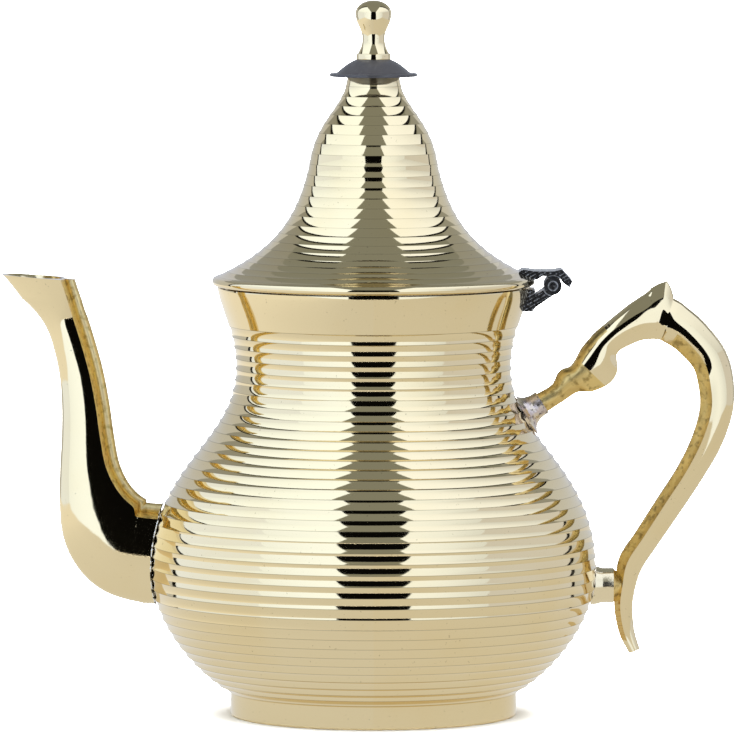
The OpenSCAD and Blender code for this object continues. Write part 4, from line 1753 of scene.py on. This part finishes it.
@dataclass(frozen=True)
class Panel:
    """A flat surface of the tent; it shows only in the brass, never to the camera."""

    name: str
    corners: tuple[Triple, ...]
    glow: Glow

    def place(self) -> None:
        """Hangs the panel."""
        panel = new_piece(self.name, self.corners, faces=[range(len(self.corners))])
        panel.data.materials.append(PanelFinish(self.name, self.glow).make())
        panel.visible_camera = False
        panel.visible_diffuse = False
        panel.visible_shadow = False

    def mirrored(self, glow: Glow) -> "Panel":
        """The panel on the other side of the slit, with its own glow."""
        corners = tuple((-x, y, z) for x, y, z in self.corners)
        return Panel(self.name.replace("left", "right"), corners, glow)


@dataclass(frozen=True)
class FloorFinish(Finish):
    """Plain pale board, very faintly cloudy."""

    dark: Colour = (0.86, 0.86, 0.86)
    light: Colour = (0.88, 0.88, 0.88)
    clouds: Mask = Mask(3, 3, 0.3, 0.7)

    def sockets(self, graph: Graph) -> dict:
        """Clouds the floor.

        Args:
            graph: The material's graph.

        Returns:
            Values and fields by socket name.
        """
        colour = graph.blend(self.clouds.on(graph), self.dark, self.light)
        return {"Base Color": colour, "Roughness": 0.9, "Specular IOR Level": 0.0}


def upright(a: Pair, b: Pair, low: float, high: float) -> tuple[Triple, ...]:
    """The corners of an upright panel over a line on the floor."""
    return (*a, low), (*b, low), (*b, high), (*a, high)


def level(height: float, *outline: Pair) -> tuple[Triple, ...]:
    """The corners of a level panel."""
    return tuple((x, y, height) for x, y in outline)


@dataclass
class Studio:
    """Floor, tent and camera; the camera looks in through a slit of the tent.

    The tent's front, sides and roof stand close to the teapot. Behind them are a wall and, over
    it, a dimmer haze. Beyond the slit a dark floor strip and a dark card reach to the camera.
    """

    floor_r: float = 14.0
    floor_corners: int = 64
    floor_level: float = 6.0
    floor_white: float = 0.87
    overhead_angle: float = 90.0
    room: Colour = (0.27, 0.30, 0.31)
    pixel: float = 0.3493
    image: int = 736
    sensor: float = 36.0
    clip: Pair = (0.05, 60.0)
    distance: float = 3.0
    height: float = 0.35
    aim: Triple = (-0.00192, 0.0, 0.1215)
    front_y: float = -0.42
    side_back_y: float = 0.40
    side_x: float = 0.70
    roof_z: float = 0.38
    roof_back_y: float = -0.02
    roof_knee: Pair = (0.25, 0.10)
    roof_gap: float = 0.07
    slit_half: float = 0.108
    slit_foot: float = 0.135
    dark_y: float = -1.14
    dark_half: float = 0.50
    dark_z: float = 0.69
    dark_spread: float = 0.02
    seam: float = 0.03
    back_y: float = 2.6
    wall_z: Pair = (0.5, 1.15)
    haze_z: Pair = (0.9, 2.2)
    sheen_z: float = 0.0006
    strip_z: float = 0.001

    def build(self) -> None:
        """Makes the studio."""
        self._camera()
        self._floor()
        self._world()
        self._shell()
        self._back()
        self._ground()

    def _camera(self) -> None:
        """Sets the camera in front of the teapot, a little above it."""
        camera = bpy.data.objects.new("camera", bpy.data.cameras.new("camera"))
        bpy.context.scene.collection.objects.link(camera)
        place = Vector((self.aim[0], -self.distance, self.height))
        ray = Vector(self.aim) - place
        camera.location = place
        camera.rotation_euler = ray.to_track_quat("-Z", "Y").to_euler()
        camera.data.sensor_width = self.sensor
        camera.data.lens = self.sensor * ray.length / (self.image * self.pixel * MM)
        camera.data.clip_start, camera.data.clip_end = self.clip
        bpy.context.scene.camera = camera

    def _floor(self) -> None:
        """Lays a plain pale floor under an overhead light."""
        count, radius = self.floor_corners, self.floor_r
        ring = [(radius * math.cos(TAU * i / count), radius * math.sin(TAU * i / count), 0.0)
                for i in range(count)]
        floor = new_piece("floor", ring, faces=[range(count)])
        floor.data.materials.append(FloorFinish("pale_floor").make())
        sun = bpy.data.lights.new("overhead", "SUN")
        sun.angle = math.radians(self.overhead_angle)
        sun.energy = self.floor_level * math.pi / self.floor_white
        overhead = bpy.data.objects.new("overhead", sun)
        bpy.context.scene.collection.objects.link(overhead)
        overhead.visible_glossy = False
        overhead.visible_camera = False

    def _world(self) -> None:
        """Fills the room with dim cool grey."""
        world = bpy.data.worlds.new("room")
        world.use_nodes = True
        shader = next(n for n in world.node_tree.nodes if n.type == "BACKGROUND")
        Graph(world.node_tree).feed(shader, {"Color": (*self.room, 1.0), "Strength": 1.0})
        bpy.context.scene.world = world

    @staticmethod
    def _pair(name: str, left: Glow, right: Glow, corners: tuple[Triple, ...]) -> None:
        """Hangs a panel on each side of the slit.

        Args:
            name: The left panel's name.
            left: Its glow.
            right: The right panel's glow.
            corners: The left panel's corners.
        """
        panel = Panel(name, corners, left)
        panel.place()
        panel.mirrored(right).place()

    def _shell(self) -> None:
        """Hangs the front, the sides and the roof with the dark seams between them."""
        side, front, roof = -self.side_x, self.front_y, self.roof_z
        side_y, end_y = self.side_back_y, self.side_back_y + 2 * self.seam
        knee = -self.roof_knee[0], self.roof_knee[1]
        tip = -self.roof_gap, self.roof_back_y
        self._pair("front_left", Glow(1.26, (1.0, 1.19, 1.58), 0.90),
                   Glow(1.20, (1.0, 1.16, 1.50), 0.76),
                   ((-self.slit_foot, front, 0), (side, front, 0), (side, front, roof),
                    (-self.slit_half, front, roof)))
        self._pair("side_left", Glow(1.10, (0.92, 1.08, 1.45), 1.0),
                   Glow(0.86, (0.90, 0.97, 1.18), 1.0),
                   upright((side, front), (side, side_y), 0, roof))
        self._pair("roof_left", Glow(1.30, (1.0, 1.19, 1.56), 0.84),
                   Glow(1.26, (1.0, 1.14, 1.46), 0.66),
                   level(roof, (-self.slit_half, front), (side, front), (side, side_y), knee,
                         tip))
        self._pair("roof_seam_left", SEAM, SEAM,
                   level(roof, tip, knee, (side, side_y), (side, end_y),
                         (knee[0], knee[1] + 1.2 * self.seam), (tip[0], tip[1] + self.seam)))
        self._pair("side_seam_left", SEAM, SEAM, upright((side, side_y), (side, end_y), 0, roof))

    def _back(self) -> None:
        """Hangs the walls of the room behind the tent and the haze over them."""
        side, back, near = -self.side_x, self.back_y, self.side_back_y + 2 * self.seam
        (near_wall, wall), (near_haze, haze) = self.wall_z, self.haze_z
        tint = (0.97, 1.05, 1.20)
        self._pair("back_left", Glow(0.66, tint), Glow(0.68, tint, 1.0),
                   ((side, near, 0), (side, back, 0), (side, back, wall),
                    (side, near, near_wall)))
        self._pair("haze_left", HAZE, Glow(HAZE.radiance, HAZE.tint, 1.0),
                   ((side, near, near_wall), (side, back, wall), (side, back, haze),
                    (side, near, near_haze)))
        ends = (side, back), (-side, back)
        Panel("back_wall", upright(*ends, 0, wall), WALL).place()
        Panel("back_haze", upright(*ends, wall, haze), HAZE).place()

    def _ground(self) -> None:
        """Lays the floor's sheen and the dark strip, and stands the dark card beyond the slit."""
        side, front, back = self.side_x, self.front_y, self.back_y
        for name, low, high, tint, far_share in (
                ("floor_sheen_left", -side, 0, (1.0, 1.025, 1.06), 1.30),
                ("floor_sheen_right", 0, side, (1.0, 1.01, 1.01), 0.96)):
            corners = level(self.sheen_z, (low, front), (high, front), (high, back), (low, back))
            Panel(name, corners, Glow(0.78, tint, far_share, 0.0, 0.45)).place()
        foot, wide, dark = self.slit_foot + self.dark_spread, self.dark_half, self.dark_y
        Panel("dark_floor", level(self.strip_z, (-foot, front), (foot, front), (wide, dark),
                                  (-wide, dark)), BLACK).place()
        Panel("dark_card", upright((-wide, dark), (wide, dark), 0, self.dark_z), BLACK).place()


# ---------------------------------------------------------------- main


def main() -> None:
    """Builds the studio and the teapot, piece by piece."""
    logging.basicConfig(level=logging.INFO, format="%(name)s %(message)s")
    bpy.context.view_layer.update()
    bpy.context.scene.view_settings.view_transform = "Standard"
    Studio().build()
    finishes, lathe = Finishes(), Lathe()
    pot = Pot(finishes, lathe)
    pot.build()
    Spout(finishes, pot).build()
    Handle(finishes, pot).build()
    Lid(finishes, lathe).build()
    Knob(finishes, lathe).build()
    Hinge(finishes).build()


if __name__ == "__main__":
    main()
